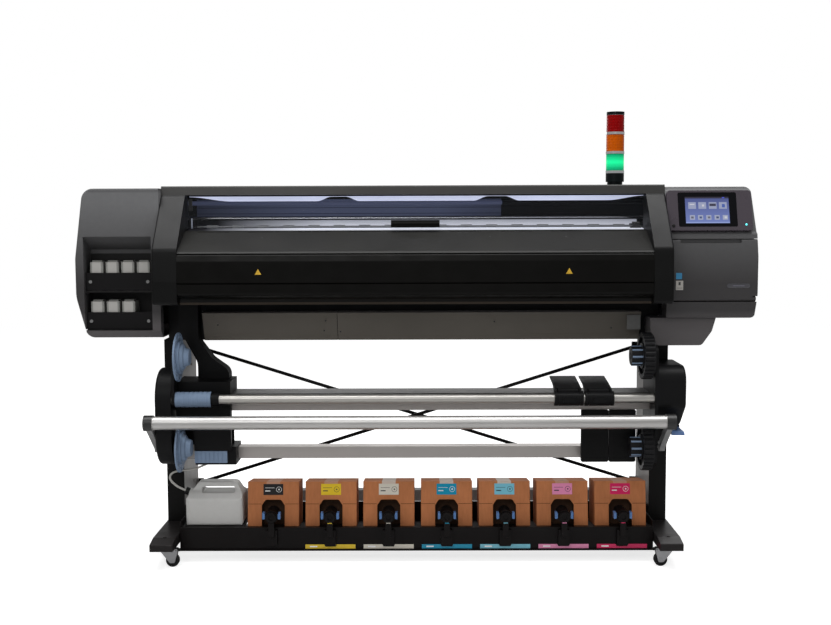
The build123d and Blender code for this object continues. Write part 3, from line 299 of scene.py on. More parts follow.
# ------------------------------------------------------------------ materials for the CAD nodes
shell = moulded("shell_grey", (0.138, 0.139, 0.143), 0.46, depth=0.00008, specular=0.22)
# Painted light on the shell: it is painted darker below z 1.05 and brighter up to z 1.36 as if lit from above,
# and brighter again below z 0.90. The strip above z 1.40 is painted darker.
shell.colour = shell.mix(shell.step(shell.z, 1.05, 1.36), (0.042, 0.040, 0.041), shell.colour)
shell.colour = shell.mix(shell.step(shell.z, 0.95, 0.90), shell.colour, (0.095, 0.088, 0.090))
shell.colour = shell.mix(shell.step(shell.z, 1.396, 1.412), shell.colour, (0.045, 0.045, 0.047))
# Painted shade: the inside of the tank alcove is painted near black as shade in the recess.
alcove_painted_shade = shell.all(shell.band(shell.x, LEFT_X + 0.0335, END_L - 0.0325), shell.band(shell.z, 0.8795, 1.168),
                      shell.band(shell.y, -0.246, -0.149))
shell.paint(alcove_painted_shade, (0.006, 0.0055, 0.0055), 0.5)
shell_mat = shell.done()
for n in ("left_shell", "right_shell", "service_door"):
    dress(n, shell_mat)

dress("top_cover", moulded("cover_dark", (0.036, 0.0350, 0.0338), 0.42, specular=0.22).done())
dress("output_table", moulded("table_dark", (0.0125, 0.0123, 0.0115), 0.40, specular=0.18).done())

cheek = moulded("cheek_dark", (0.0115, 0.0115, 0.0118), 0.42, specular=0.15)
# Painted shade: the cheeks are painted darker below z 1.16 and reach their own colour above z 1.30, as light
# falls on the upper slope.
cheek.colour = cheek.mix(cheek.step(cheek.z, 1.16, 1.30), (0.0028, 0.0028, 0.0028), cheek.colour)
dress("side_cheeks", cheek.done())

curing = coated("curing_black", (0.0034, 0.0032, 0.0028), 0.36)
curing.bsdf.inputs["Specular IOR Level"].default_value = 0.09
# Painted highlight: a thin warm-brown band along the front edge at this height stands in for a lit edge.
lip = curing.all(curing.band(curing.z, PLATEN - 0.2795, PLATEN - 0.270),
                 curing.do("LESS_THAN", curing.y, -0.330))
curing.paint(lip, (0.030, 0.023, 0.017), 0.30)
dress("curing_module", curing.done())

dress("lower_panel", coated("panel_warm", (0.108, 0.098, 0.085), 0.42).done())
chassis = coated("chassis_paint", (0.010, 0.010, 0.011), 0.45)
rod_depth = chassis.band(chassis.y, 0.0215, 0.0385)
rods = chassis.all(rod_depth, chassis.band(chassis.z, TOP - 0.131, TOP - 0.113))
chassis.paint(rods, (0.62, 0.63, 0.66), 0.22)
# Painted glow: the upper rod is painted blue-grey and made to glow as if lit by the light strip.
top_rod_painted_glow = chassis.all(rod_depth, chassis.do("GREATER_THAN", chassis.z, TOP - 0.071),
                      chassis.do("LESS_THAN", chassis.x, COVER_END))
chassis.paint(top_rod_painted_glow, (0.12, 0.13, 0.20), 0.4)
chassis.put(chassis.bsdf.inputs["Emission Color"], (0.045, 0.055, 0.105))
chassis.put(chassis.bsdf.inputs["Emission Strength"], chassis.do("MULTIPLY", top_rod_painted_glow, 0.6))
chassis.put(chassis.bsdf.inputs["Metallic"], rods)
dress("chassis", chassis.done())
platen = drawn_metal("platen_alloy", (0.62, 0.64, 0.67), 0.34, (0.02, 1, 1), 0.6)
# Painted light: the platen glows as if lit by the light strip, fading to a painted shade towards its left end and
# towards the back.
led_painted_light = platen.all(platen.step(platen.x, -0.80, -0.42), platen.step(platen.y, -0.05, -0.19, 0.55, 1.0))
platen.colour = platen.mix(led_painted_light, (0.02, 0.02, 0.025), platen.colour)
platen.put(platen.bsdf.inputs["Emission Color"], (0.82, 0.85, 1.0))
platen.put(platen.bsdf.inputs["Emission Strength"], platen.do("MULTIPLY", led_painted_light, 0.42))
dress("platen", platen.done())

stand = coated("stand_paint", (0.30, 0.295, 0.29), 0.40)
front_face = stand.do("LESS_THAN", stand.y, -0.1165)
stays = stand.all(stand.band(stand.x, -0.905, 0.905), stand.do("GREATER_THAN", stand.z, 0.178))
outside = stand.do("GREATER_THAN", stand.do("ABSOLUTE", stand.x), 0.9785)
black_sides = stand.do("MAXIMUM", stand.do("MAXIMUM", front_face, stays), outside)
stand.paint(black_sides, (0.0045, 0.0042, 0.0042), 0.42)
dress("stand_frame", stand.done())
dress("stand_feet", coated("foot_black", (0.017, 0.015, 0.015), 0.36).done())

shelf = coated("shelf_black", (0.0055, 0.0042, 0.0042), 0.38)
off = shelf.do("ABSOLUTE", slot_offset(shelf))
grip_zone = shelf.all(shelf.do("LESS_THAN", shelf.y, -0.2835),
                      shelf.band(shelf.z, SHELF + 0.0355, SHELF + 0.061),
                      shelf.band(off, 0.0245, 0.035))
shelf.paint(grip_zone, (0.10, 0.20, 0.42), 0.40)
dress("ink_shelf", shelf.done())

marker = Shade("marker_film", (0.5, 0.5, 0.5), 0.35)
marker.colour = slot_colour(marker, SLOT_COLOURS)
marker.tone(marker.noise(40, 3), 0.08)
pale = marker.all(marker.band(marker.z, 0.0555, 0.0605), marker.band(slot_offset(marker), -0.078, -0.050))
marker.paint(pale, (0.85, 0.85, 0.85), 0.35)
dress("slot_markers", marker.done())

dress("drive_roller", moulded("roller_grit", (0.035, 0.035, 0.036), 0.75, 500, 0.0002).done())
dress("pinch_rollers", moulded("pinch_grey", (0.45, 0.46, 0.48), 0.4).done())
dress("carriage", moulded("carriage_dark", (0.022, 0.022, 0.025), 0.35).done())
belt = moulded("belt_rubber", (0.012, 0.012, 0.012), 0.6)
teeth = belt.do("SINE", belt.do("MULTIPLY", belt.x, 2 * math.pi / 0.003))
belt.bump(teeth, 0.0002)
dress("carriage_belt", belt.done())
pulley_mat = drawn_metal("pulley_alloy", (0.55, 0.55, 0.56), 0.3, (1, 0.1, 1)).done()
dress("drive_pulley", pulley_mat)
dress("idler_pulley", pulley_mat)
dress("cutter", moulded("cutter_dark", (0.03, 0.03, 0.03), 0.4).done())

tank = moulded("tank_grey", (0.24, 0.24, 0.225), 0.35)
plate_zone = tank.do("LESS_THAN", tank.y, -0.2235)
tank.paint(plate_zone, (0.0075, 0.007, 0.0075), 0.40)
label = tank.all(tank.do("GREATER_THAN", tank.y, -0.2235), tank.do("LESS_THAN", tank.y, -0.2205),
                 tank.do("LESS_THAN", tank.do("ABSOLUTE", tank.do("SUBTRACT", tank.do(
                     "FLOORED_MODULO", tank.do("SUBTRACT", tank.x, -1.206 - 0.0295), 0.059), 0.0295)), 0.017))
tank.paint(label, (0.42, 0.41, 0.39), 0.45)
tank.paint(tank.do("LESS_THAN", tank.y, -0.2285), (0.22, 0.22, 0.22), 0.35)
dress("ink_tanks", tank.done())

bezel = Shade("bezel_satin", (0.050, 0.042, 0.051), 0.34)
bezel.bsdf.inputs["Specular IOR Level"].default_value = 0.25
bezel.tone(bezel.noise(3, 3), 0.1)
bezel.rough = bezel.step(bezel.noise(20, 4), 0.3, 0.7, 0.24, 0.34)
dress("screen_bezel", bezel.done())
glass = Shade("panel_glass", (0.002, 0.002, 0.003), 0.10)
glass.bsdf.inputs["Specular IOR Level"].default_value = 0.15
glass.rough = glass.step(glass.noise(30, 4), 0.4, 0.7, 0.05, 0.12)
dress("touch_screen", glass.done())
dress("power_button", moulded("button_black", (0.012, 0.012, 0.012), 0.25).done())

clear = Shade("window_clear", (0.06, 0.065, 0.075), 0.05)
clear.rough = clear.step(clear.noise(5, 4), 0.3, 0.7, 0.06, 0.12)
clear.bsdf.inputs["Specular IOR Level"].default_value = 0.10
grip = clear.all(clear.band(clear.x, -0.0915, 0.0915), clear.do("LESS_THAN", clear.z, PLATEN + 0.0295),
                 clear.do("LESS_THAN", clear.y, -0.2205))
rim = clear.all(clear.do("LESS_THAN", clear.z, PLATEN + 0.0045), clear.do("LESS_THAN", clear.y, -0.2200))
clear.paint(grip, (0.002, 0.002, 0.002), 0.85)
clear.put(clear.bsdf.inputs["Alpha"], clear.do("MAXIMUM", grip, clear.do("MULTIPLY_ADD", rim, 0.25, 0.05)))
dress("front_window", clear.done())

beacon = drawn_metal("beacon_chrome", (0.70, 0.71, 0.72), 0.12, (1, 1, 0.05))
dark = beacon.do("MAXIMUM", beacon.do("LESS_THAN", beacon.z, TOP + 0.0515),
                 beacon.do("GREATER_THAN", beacon.z, TOP + 0.2805))
beacon.paint(dark, (0.003, 0.005, 0.0055), 0.30)
beacon.bsdf.inputs["Specular IOR Level"].default_value = 0.12
beacon.put(beacon.bsdf.inputs["Metallic"], beacon.do("SUBTRACT", 1.0, dark))
dress("beacon_body", beacon.done())

lens = Shade("beacon_lens", (0.0, 0.5, 0.25), 0.18)
lens.bsdf.inputs["Specular IOR Level"].default_value = 0.06
is_red = lens.do("GREATER_THAN", lens.z, TOP + 0.209)
is_amber = lens.band(lens.z, TOP + 0.133, TOP + 0.209)
is_green = lens.do("LESS_THAN", lens.z, TOP + 0.133)
lens.colour = lens.mix(is_red, (0.0, 0.24, 0.12), (0.22, 0.0012, 0.0015))
lens.colour = lens.mix(is_amber, lens.colour, (0.50, 0.085, 0.0015))
flute = lens.do("SINE", lens.do("MULTIPLY", lens.do("ARCTAN2", lens.do("SUBTRACT", lens.y, 0.05),
                                                     lens.do("SUBTRACT", lens.x, 0.795)), 48.0))
lens.bump(flute, 0.0004)
lens.bump(lens.do("SINE", lens.do("MULTIPLY", lens.z, 2 * math.pi / 0.011)), 0.00015)
lens.put(lens.bsdf.inputs["Emission Color"], lens.mix(is_green, (0.9, 0.06, 0.01), (0.02, 1.0, 0.35)))
glow = lens.step(lens.do("ABSOLUTE", lens.do("SUBTRACT", lens.z, TOP + 0.095)), 0.0, 0.034, 0.85, 0.06)
lens.put(lens.bsdf.inputs["Emission Strength"], lens.do("MULTIPLY", is_green, glow))
dress("beacon_lenses", lens.done())

housing_mat = moulded("housing_black", (0.0065, 0.0065, 0.007), 0.42, specular=0.1).done()
for n in ("side_housing", "motor_housing", "edge_clamps"):
    dress(n, housing_mat)
guard = moulded("guard_black", (0.0045, 0.0045, 0.0047), 0.45, specular=0.1)
dress("roll_guards", guard.done())

BLUE = (0.185, 0.252, 0.360)
dress("release_lever", moulded("lever_blue", (0.09, 0.16, 0.33), 0.40).done())
hub = moulded("hub_blue", BLUE, 0.42, blotch=0.06)
dress("hub_upper_left", hub.done())
dress("hub_lower_left", hub.mat)


def right_hub_mat(name, z):
    """Black hub whose plug has slate-blue ribs round it."""
    s = moulded(name, (0.010, 0.010, 0.011), 0.40)
    radius = s.do("SQRT", s.do("ADD", s.do("POWER", s.do("SUBTRACT", s.y, -0.300), 2.0),
                               s.do("POWER", s.do("SUBTRACT", s.z, z), 2.0)))
    rib = s.all(s.do("LESS_THAN", s.x, 0.8405), s.do("GREATER_THAN", radius, 0.0352))
    s.paint(rib, BLUE, 0.40)
    return s.done()


dress("hub_upper_right", right_hub_mat("hub_black_upper", STAND - 0.046))
dress("hub_lower_right", right_hub_mat("hub_black_lower", STAND - 0.390))

upper = moulded("upper_slider", (0.0055, 0.0055, 0.006), 0.42, specular=0.1)
grip = upper.all(upper.band(upper.x, -0.8935, -0.7612), upper.do("LESS_THAN", upper.z, STAND - 0.170))
upper.paint(grip, BLUE, 0.40)
dress("upper_hub_slider", upper.done())
lower = moulded("lower_slider", (0.0055, 0.0055, 0.006), 0.42, specular=0.1)
grip = lower.all(lower.band(lower.x, -0.8385, -0.7148), lower.do("LESS_THAN", lower.y, -0.2625),
                 lower.band(lower.z, STAND - 0.4535, STAND - 0.4075))
lower.paint(grip, BLUE, 0.40)
dress("lower_hub_slider", lower.done())

# Painted shade: the dark base colour on the upper part of the roll beams stands for the front bar's shade; below
# z STAND - 0.233 they get their lighter alloy colour.
beam = drawn_metal("beam_alloy", (0.050, 0.049, 0.047), 0.42, (0.015, 1, 1), 0.85)
beam.paint(beam.step(beam.z, STAND - 0.213, STAND - 0.233), (0.41, 0.385, 0.37), 0.45)
bar = beam.do("LESS_THAN", beam.y, -0.301)
beam.paint(bar, (0.46, 0.445, 0.42), 0.36)
dress("roll_beams", beam.done())

tension = drawn_metal("tension_tube", (0.50, 0.49, 0.48), 0.40, (0.015, 1, 1))
caps = tension.do("MAXIMUM", tension.do("LESS_THAN", tension.x, -0.9665),
                  tension.do("GREATER_THAN", tension.x, 0.9185))
arms = tension.all(caps, tension.do("MAXIMUM", tension.do("LESS_THAN", tension.z, STAND - 0.311),
                                   tension.do("GREATER_THAN", tension.y, -0.349)))
tension.paint(caps, (0.012, 0.012, 0.012), 0.40)
tension.paint(arms, (0.24, 0.24, 0.24), 0.40)
tension.put(tension.bsdf.inputs["Metallic"], tension.do("SUBTRACT", 1.0, caps))
dress("tension_bar", tension.done())

bottle = moulded("bottle_milky", (0.56, 0.555, 0.54), 0.36, 300, 0.00012, 0.05)
bottle.bsdf.inputs["Subsurface Weight"].default_value = 0.35
bottle.bsdf.inputs["Subsurface Radius"].default_value = (0.02, 0.02, 0.02)
cap_dx = bottle.do("ADD", bottle.x, 0.8715)
cap_dz = bottle.do("SUBTRACT", bottle.z, SHELF + 0.1121)
along = bottle.do("ADD", bottle.do("MULTIPLY", cap_dx, -0.94), bottle.do("MULTIPLY", cap_dz, 0.342))
beside = bottle.do("ADD", bottle.do("MULTIPLY", cap_dx, 0.342), bottle.do("MULTIPLY", cap_dz, 0.94))
cap_zone = bottle.all(bottle.do("GREATER_THAN", along, 0.006), bottle.band(beside, -0.016, 0.016),
                      bottle.band(bottle.y, -0.206, -0.174))
bottle.paint(cap_zone, (0.012, 0.012, 0.012), 0.4)
dress("waste_bottle", bottle.done())

fork_mat = coated("fork_zinc", (0.34, 0.34, 0.35), 0.34, 0.7).done()
wheel = moulded("wheel_black", (0.014, 0.014, 0.014), 0.55)
wheel_mat = wheel.done()
for t in ("fl", "fr", "rl", "rr"):
    dress("caster_fork_" + t, fork_mat)
    dress("caster_wheel_" + t, wheel_mat)
pedal_mat = moulded("pedal_black", (0.012, 0.012, 0.012), 0.42).done()
dress("brake_pedal_l", pedal_mat)
dress("brake_pedal_r", pedal_mat)


def carton_mat(i):
    """Kraft board with flute lines, painted shade inside the notch, tape, and the box's own blank colour label.
    """
    s = Shade("carton_%d" % (i + 1), (0.450, 0.165, 0.064), 0.80)
    s.bsdf.inputs["Specular IOR Level"].default_value = 0.25
    s.tone(s.noise(6 + i, 5), 0.12)
    s.tone(s.noise(140, 3, (1, 1, 0.15)), 0.07)
    s.bump(s.noise(300, 2, (1, 1, 0.2)), 0.0001)
    s.bump(s.do("SINE", s.do("MULTIPLY", s.x, 2 * math.pi / 0.0065)), 0.00004)
    tilt = math.radians(8)
    base_z = SHELF + 0.0002 - 0.031 * math.tan(tilt)
    across = s.do("SUBTRACT", s.x, BOX_FIRST + i * BOX_PITCH)
    dy = s.do("SUBTRACT", s.y, -0.255)
    dz = s.do("SUBTRACT", s.z, base_z)
    deep = s.do("SUBTRACT", s.do("MULTIPLY", dy, math.cos(tilt)), s.do("MULTIPLY", dz, math.sin(tilt)))
    high = s.do("ADD", s.do("MULTIPLY", dy, math.sin(tilt)), s.do("MULTIPLY", dz, math.cos(tilt)))
    notch_painted_shade = s.all(s.band(across, -0.0445, 0.0445), s.do("LESS_THAN", high, 0.1005),
                  s.band(deep, 0.0012, 0.0485))
    # Painted shade: the inside of the notch is painted dark brown.
    s.paint(notch_painted_shade, (0.055, 0.026, 0.013), 0.8)
    tape = s.all(s.band(across, -0.026, 0.026), s.do("GREATER_THAN", high, 0.1595),
                 s.do("GREATER_THAN", deep, -0.0003))
    s.paint(s.do("MULTIPLY", tape, 0.75 if i in (2, 3, 4) else 0.22), (0.62, 0.58, 0.52), 0.35)
    seam = s.all(s.band(high, 0.0825, 0.0845), s.band(deep, -0.0002, 0.002))
    s.paint(s.all(seam, s.do("GREATER_THAN", s.do("ABSOLUTE", across), 0.0455)), (0.10, 0.040, 0.016), 0.9)
    front = s.do("LESS_THAN", deep, -0.0002)
    s.paint(front, SLOT_COLOURS[i], 0.38)
    ink = (0.03, 0.03, 0.03) if i in (1, 2, 4, 5) else (0.75, 0.75, 0.75)
    ring = s.do("SQRT", s.do("ADD", s.do("POWER", s.do("SUBTRACT", across, 0.0215), 2.0),
                             s.do("POWER", s.do("SUBTRACT", high, 0.1385), 2.0)))
    s.paint(s.all(front, s.band(ring, 0.0092, 0.0106)), ink, 0.4)
    s.paint(s.all(front, s.do("LESS_THAN", ring, 0.0030)), ink, 0.4)
    s.paint(s.all(front, s.band(across, -0.031, -0.012), s.band(high, 0.1310, 0.1350)), ink, 0.4)
    s.paint(s.all(front, s.band(across, -0.031, 0.004), s.band(high, 0.1440, 0.1455)), ink, 0.4)
    return s.done()


for i in range(len(SLOT_COLOURS)):
    dress("ink_box_%d" % (i + 1), carton_mat(i))

for n in ("stand_feet", "stand_frame", "ink_shelf", "top_cover", "side_cheeks", "output_table", "curing_module",
          "motor_housing", "side_housing", "roll_guards", "lower_hub_slider", "upper_hub_slider",
          "release_lever", "screen_bezel", "service_door", "lower_panel"):
    soften(n)

# ------------------------------------------------------------------ pieces
def flat_colour(name, colour, rough=0.45, glow=0.0):
    """Thin film or paint with light wear."""
    s = Shade(name, colour, rough)
    s.tone(s.noise(70, 3), 0.08)
    s.rough = s.step(s.noise(25, 4), 0.3, 0.7, rough - 0.05, rough + 0.08)
    if glow:
        s.put(s.bsdf.inputs["Emission Color"], colour)
        s.put(s.bsdf.inputs["Emission Strength"], glow)
    return s.done()


def light_strip():
    """Light diffuser under the top edge of the window.

    A thin ribbon of boxes along X. Its lower edge hangs 17 mm down along each lens and rises in a
    smooth S to nothing at the two joints and at both ends."""
    left, right, top, front, back = -0.862, 0.872, 1.383, -0.158, -0.155
    x = np.linspace(left, right, 361)
    drop = np.ones_like(x)
    joints = ((-0.293, 0.026, 0.055), (0.3095, 0.032, 0.055), (left, 0.0, 0.16), (right, 0.0, 0.14))
    for joint, half, ramp in joints:
        t = np.clip((np.abs(x - joint) - half) / ramp, 0, 1)
        drop *= t * t * (3 - 2 * t)
    low = 1.3815 - 0.017 * drop
    high = np.full_like(x, top)
    ring = [np.c_[x, np.full_like(x, y), z] for y, z in ((front, low), (back, low), (back, high), (front, high))]
    verts = np.stack(ring, 1).reshape(-1, 3)
    i, j = np.meshgrid(np.arange(len(x) - 1), np.arange(4), indexing="ij")
    k = (j + 1) % 4
    side = np.stack([i * 4 + j, i * 4 + k, (i + 1) * 4 + k, (i + 1) * 4 + j], -1).reshape(-1, 4)
    last = (len(x) - 1) * 4
    ends = np.array([[3, 2, 1, 0], [last, last + 1, last + 2, last + 3]])
    s = Shade("diffuser", (0.6, 0.63, 0.75), 0.4)
    s.tone(s.noise(9, 3, (0.2, 1, 1)), 0.1)
    s.put(s.bsdf.inputs["Emission Color"], (0.60, 0.65, 0.88))
    s.put(s.bsdf.inputs["Emission Strength"], s.step(s.noise(3, 2, (1, 0, 0)), 0.3, 0.7, 0.60, 0.82))
    surface("light_strip", verts, np.vstack([side[:, ::-1], ends[:, ::-1]]), s.done(), smooth=False)


light_strip()
back = Shade("back_cover_blue", (0.055, 0.062, 0.100), 0.5)
back.tone(back.noise(2, 3, (1, 0, 0)), 0.25)
# Painted light: the back cover glows blue as if lit by the light strip, most in the middle and less towards both
# ends.
shine = back.all(back.step(back.x, -0.90, -0.45, 0.25, 1.0), back.step(back.x, 0.36, 0.10, 0.45, 1.0))
back.put(back.bsdf.inputs["Emission Color"], (0.045, 0.055, 0.105))
back.put(back.bsdf.inputs["Emission Strength"], back.do("MULTIPLY", shine, 0.75))
blocks("back_cover", (WINDOW_END, COVER_END, REAR_WALL, REAR_WALL + 0.0025, 1.301, 1.3755), back.done())
silver = drawn_metal("silver_band", (0.62, 0.64, 0.67), 0.38, (0.02, 1, 1), 0.5)
# Painted light: the silver band is painted dark at its left end as shade, and glows as if lit by the light strip,
# brightest along its lower edge.
silver_painted_light = silver.step(silver.x, -0.80, -0.35)
silver.colour = silver.mix(silver_painted_light, (0.015, 0.015, 0.02), silver.colour)
silver_glow = silver.mix(silver.step(silver.z, 1.265, 1.297), (0.62, 0.64, 0.74), (0.20, 0.21, 0.25))
silver.put(silver.bsdf.inputs["Emission Color"], silver_glow)
silver.put(silver.bsdf.inputs["Emission Strength"], silver.do("MULTIPLY", silver_painted_light, 0.85))
blocks("back_guide", (WINDOW_END, 0.890, REAR_WALL, REAR_WALL + 0.0025, 1.2625, 1.2985), silver.done())
pale = flat_colour("pale_steel", (0.55, 0.60, 0.75), 0.35)
blocks("platen_end_plate", (-0.8560, -0.8510, -0.164, -0.1585, 1.2625, 1.300), pale)
black = flat_colour("trim_black", (0.006, 0.006, 0.006), 0.4)
blocks("edge_sensor", (-0.866, -0.851, -0.164, -0.1585, 1.330, 1.374), black)

TILT = math.radians(17.2)


def panel_point(x, y, lift):
    """A place on the sloping control panel: x along it, y up it, lift out of it."""
    return (1.108 + x, -0.2445 + y * math.sin(TILT) - lift * math.cos(TILT),
            1.326 + y * math.cos(TILT) + lift * math.sin(TILT))


def display_mat():
    """Lit menu: a dark header, four large tiles, five small ones and a pale foot line, all unlettered."""
    s = Shade("display_lit", (0.01, 0.01, 0.02), 0.2)
    across = s.do("SUBTRACT", s.x, 1.108)
    up = s.do("DIVIDE", s.do("SUBTRACT", s.z, 1.326), math.cos(TILT))
    glow = s.mix(s.step(up, 0.045, -0.052), (0.060, 0.080, 0.235), (0.150, 0.200, 0.470))
    header = s.do("GREATER_THAN", up, 0.0440)

    def area(cx, cy, w, h):
        return s.all(s.band(across, cx - w / 2, cx + w / 2), s.band(up, cy - h / 2, cy + h / 2))

    for i, cx in enumerate((-0.0735, -0.0355, 0.0035, 0.0415)):
        glow = s.mix(area(cx, 0.0165, 0.0290, 0.0260), glow, (0.30, 0.33, 0.47))
        mark = ((0.0, 0.0045, 0.018, 0.003), (0.003, 0.0, 0.008, 0.008),
                (0.0, 0.0025, 0.024, 0.010), (0.002, -0.001, 0.011, 0.013))[i]
        tint = ((0.62, 0.62, 0.66), (0.55, 0.55, 0.60), (0.03, 0.03, 0.05), (0.05, 0.10, 0.35))[i]
        glow = s.mix(area(cx + mark[0], 0.0165 + mark[1], mark[2], mark[3]), glow, tint)
    for i, cx in enumerate((-0.0745, -0.0440, -0.0135, 0.0175, 0.0480)):
        glow = s.mix(area(cx, -0.0300, 0.0190, 0.0180), glow, (0.34, 0.37, 0.48))
        tint = ((0.10, 0.10, 0.14), (0.05, 0.08, 0.20), (0.12, 0.12, 0.16),
                (0.04, 0.06, 0.14), (0.55, 0.57, 0.62))[i]
        glow = s.mix(area(cx + 0.0005 * i, -0.0300, 0.0095, 0.0080), glow, tint)
    glow = s.mix(s.band(up, -0.0520, -0.0475), glow, (0.26, 0.33, 0.62))
    glow = s.mix(header, glow, (0.012, 0.010, 0.018))
    glow = s.mix(area(0.0440, 0.0470, 0.009, 0.004), glow, (0.06, 0.08, 0.55))
    s.put(s.bsdf.inputs["Emission Color"], glow)
    s.put(s.bsdf.inputs["Emission Strength"], 0.95)
    return s.done()


corners = [panel_point(x, y, lift) for lift in (-0.0010, -0.0006) for x, y in
           ((-0.099, -0.052), (0.064, -0.052), (0.064, 0.0505), (-0.099, 0.0505))]
surface("screen_display", corners, BOX_FACES, display_mat(), smooth=False)
light = panel_point(0.1247, -0.058, 0.0)
face = (0.0, -math.cos(TILT), math.sin(TILT))
turned("power_light", [(light, face, [(-0.001, 0.0), (-0.001, 0.0042), (0.0003, 0.0040), (0.0006, 0.0)])],
       flat_colour("cyan_light", (0.10, 0.75, 0.78), 0.3, 0.7))

# Stickers and plain signs, all without lettering.
blocks("door_sticker_blue", (0.974, 0.996, DOOR_FACE - 0.0003, DOOR_FACE + 0.0001, 1.068, 1.091),
       flat_colour("sticker_blue", (0.03, 0.22, 0.42)), "door", 0)
note = Shade("sticker_pale", (0.42, 0.40, 0.37), 0.5)
note.paint(note.all(note.band(note.x, 0.9835, 0.9915), note.band(note.z, 1.045, 1.057)), (0.03, 0.03, 0.03))
note.paint(note.all(note.band(note.x, 0.978, 0.997), note.band(note.z, 1.0335, 1.0355)), (0.12, 0.11, 0.10))
blocks("door_sticker_pale", (0.974, 1.001, DOOR_FACE - 0.0003, DOOR_FACE + 0.0001, 1.027, 1.062),
       note.done(), "door", 0)


def pill_plate():
    """Name plate with round ends and a raised rim.

    A stadium outline, drawn inwards in four steps of its scale and its depth, ends in its centre line."""
    centre_x, centre_z, straight, round_r = 1.208, 1.0425, 0.0345, 0.0085
    t = np.linspace(0, 2 * np.pi, 64, endpoint=False)
    c, n = np.cos(t), np.sin(t)
    rows = [(1.0, 0.0001), (1.0, -0.0006), (0.86, -0.0006), (0.82, -0.0002), (0.0, -0.0002)]
    verts = np.vstack([np.c_[centre_x + np.sign(c) * straight * min(1, k * 9) + round_r * k * c,
                             np.full(64, DOOR_FACE + dy), centre_z + round_r * k * n] for k, dy in rows])
    i, j = np.meshgrid(np.arange(len(rows) - 1), np.arange(64), indexing="ij")
    k = (j + 1) % 64
    quads = np.stack([i * 64 + j, i * 64 + k, (i + 1) * 64 + k, (i + 1) * 64 + j], -1).reshape(-1, 4)
    s = Shade("plate_rim", (0.055, 0.054, 0.062), 0.4)
    s.paint(s.all(s.band(s.z, 1.0410, 1.0440), s.band(s.x, 1.187, 1.230)), (0.12, 0.12, 0.15))
    surface("name_plate_blank", verts, quads[:, ::-1], s.done(), "door", smooth=False)


pill_plate()
yellow = flat_colour("sign_yellow", (0.60, 0.36, 0.02), 0.5)
for k, x in enumerate((-0.571, 0.559)):
    front_y, back_y = CURING_FACE - 0.0003, CURING_FACE + 0.0001
    tri = [(x - 0.012, -0.010), (x + 0.012, -0.010), (x, 0.011)]
    verts = [(a, y, 1.106 + b) for y in (front_y, back_y) for a, b in tri]
    tri_faces = [[0, 1, 2], [3, 5, 4], [0, 3, 4], [0, 4, 1], [1, 4, 5], [1, 5, 2], [2, 5, 3], [2, 3, 0]]
    surface("plain_triangle_%d" % (k + 1), verts, tri_faces, yellow, smooth=False)
slot_x = [BOX_FIRST + i * BOX_PITCH for i in range(1, 7)]
tags = [(x - 0.008, x + 0.008, -0.3156, -0.3148, SHELF + 0.006, SHELF + 0.024) for x in slot_x]
tag = Shade("dock_tag", (0.5, 0.5, 0.5), 0.4)
tag.colour = slot_colour(tag, SLOT_COLOURS)
tag.tone(tag.noise(60, 3), 0.08)
blocks("dock_tags", tags, tag.done(), bevel=0.0002)

slope = (0.0, -0.4425, 0.8968)
screw_rows = [(-0.0015, 0.0), (-0.0015, 0.0034), (0.0006, 0.0031), (0.0009, 0.0020),
              (0.0004, 0.0014), (0.0004, 0.0)]
turned("slope_screws", [((x, -0.270, 1.2284), slope, screw_rows) for x in (-0.571, 0.278, 0.561, 0.843)],
       black, steps=20)
panel_screws = ((-0.349, 0.872), (-0.344, 0.910), (-0.287, 0.868), (-0.755, 0.895), (0.30, 0.905), (0.745, 0.880))
turned("panel_screws", [((x, PANEL_FACE, z), (0, -1, 0), screw_rows) for x, z in panel_screws], black, steps=20)
blocks("panel_latch", (0.804, 0.856, PANEL_FACE - 0.0025, PANEL_FACE + 0.0005, 0.873, 0.929),
       flat_colour("latch_grey", (0.10, 0.10, 0.098)), bevel=0.001)

HOSE = [(-0.8932, -0.1900, 0.2518), (-0.9157, -0.1885, 0.2600), (-0.9380, -0.1870, 0.2750),
        (-0.9540, -0.1850, 0.2920), (-0.9550, -0.1830, 0.3080), (-0.9430, -0.1810, 0.3200),
        (-0.9200, -0.1780, 0.3260), (-0.8900, -0.1720, 0.3275), (-0.8550, -0.1620, 0.3310),
        (-0.8260, -0.1500, 0.3420), (-0.7960, -0.1370, 0.3530), (-0.7698, -0.1330, 0.3560)]


def hose():
    """Limp waste tube as a round-section spline through its corner points."""
    cu = bpy.data.curves.new("waste_tube", "CURVE")
    cu.dimensions = "3D"
    cu.resolution_u = 12
    cu.bevel_depth = 0.004
    cu.bevel_resolution = 5
    cu.use_fill_caps = True
    sp = cu.splines.new("NURBS")
    sp.points.add(len(HOSE) - 1)
    sp.points.foreach_set("co", np.c_[np.array(HOSE), np.ones(len(HOSE))].astype(np.float32).ravel())
    sp.order_u = 3
    sp.use_endpoint_u = True
    ob = bpy.data.objects.new("waste_tube", cu)
    bpy.context.scene.collection.objects.link(ob)
    s = Shade("tube_milky", (0.50, 0.49, 0.46), 0.35)
    s.tone(s.noise(60, 3), 0.1)
    s.bsdf.inputs["Subsurface Weight"].default_value = 0.2
    s.bsdf.inputs["Subsurface Radius"].default_value = (0.003, 0.003, 0.003)
    cu.materials.append(s.done())
    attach(ob, "bottle")
    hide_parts("waste_hose")


hose()


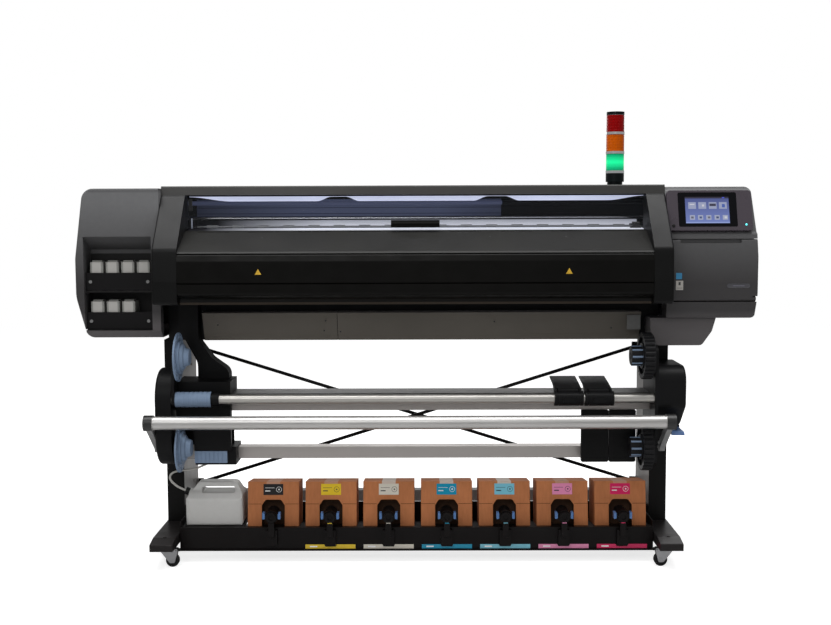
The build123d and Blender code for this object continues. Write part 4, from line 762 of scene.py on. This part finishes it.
# ------------------------------------------------------------------ floor, light and camera
def studio():
    """Pale sweep floor, soft boxes and the camera."""
    floor = Shade("studio_floor", (0.60, 0.60, 0.60), 0.9)
    floor.tone(floor.noise(0.4, 2), 0.01)
    floor.bsdf.inputs["Specular IOR Level"].default_value = 0.0
    floor.put(floor.bsdf.inputs["Emission Color"], (1.0, 1.0, 1.0))
    floor.put(floor.bsdf.inputs["Emission Strength"],
              floor.do("MULTIPLY", floor.new("ShaderNodeLightPath").outputs["Is Camera Ray"], 0.75))
    t = np.linspace(-9, 9, 10)
    gx, gy = np.meshgrid(t, t, indexing="ij")
    n = len(t)
    i, j = np.meshgrid(np.arange(n - 1), np.arange(n - 1), indexing="ij")
    quads = np.stack([i * n + j, (i + 1) * n + j, (i + 1) * n + j + 1, i * n + j + 1], -1).reshape(-1, 4)
    ob = surface("studio_floor", np.c_[gx.ravel(), gy.ravel(), np.zeros(gx.size)], quads, floor.done(), None)
    scene = bpy.context.scene
    world = bpy.data.worlds.new("studio")
    world.use_nodes = True
    world.node_tree.nodes["Background"].inputs[0].default_value = (1, 1, 1, 1)
    world.node_tree.nodes["Background"].inputs[1].default_value = 0.38
    tree = world.node_tree
    seen = tree.nodes.new("ShaderNodeBackground")
    seen.inputs[0].default_value = (1, 1, 1, 1)
    seen.inputs[1].default_value = 1.0
    both = tree.nodes.new("ShaderNodeMixShader")
    tree.links.new(tree.nodes.new("ShaderNodeLightPath").outputs["Is Camera Ray"], both.inputs[0])
    tree.links.new(tree.nodes["Background"].outputs[0], both.inputs[1])
    tree.links.new(seen.outputs[0], both.inputs[2])
    tree.links.new(both.outputs[0], tree.nodes["World Output"].inputs[0])
    scene.world = world
    scene.view_settings.view_transform = "Standard"

    def softbox(name, place, aim, size, power):
        data = bpy.data.lights.new(name, "AREA")
        data.shape = "RECTANGLE"
        data.size, data.size_y = size
        data.energy = power
        lamp = bpy.data.objects.new(name, data)
        scene.collection.objects.link(lamp)
        lamp.location = place
        away = np.array(place) - np.array(aim)
        lean = math.acos(away[2] / np.linalg.norm(away))
        lamp.rotation_euler = (lean, 0.0, math.atan2(away[1], away[0]) + math.pi / 2)

    softbox("top_light", (0.0, -0.6, 4.2), (0, 0, 1.0), (4.5, 2.0), 190)
    softbox("front_light", (-1.2, -4.8, 3.4), (0, 0, 0.9), (3.0, 1.6), 55)
    softbox("back_light", (0.6, 3.2, 2.6), (0, 0, 1.2), (4.0, 1.5), 60)

    camera = bpy.data.cameras.new("camera")
    camera.sensor_width = 36.0
    camera.lens = 47.96
    ob = bpy.data.objects.new("camera", camera)
    scene.collection.objects.link(ob)
    ob.location = (0.023, -4.400, 1.300)
    tilt = math.radians(90 - 4.89)
    turn = math.radians(0.32)
    roll = math.radians(-0.21)
    m = Matrix.Rotation(turn, 4, "Z") @ Matrix.Rotation(tilt, 4, "X") @ Matrix.Rotation(roll, 4, "Z")
    ob.rotation_euler = m.to_euler()
    scene.camera = ob


studio()
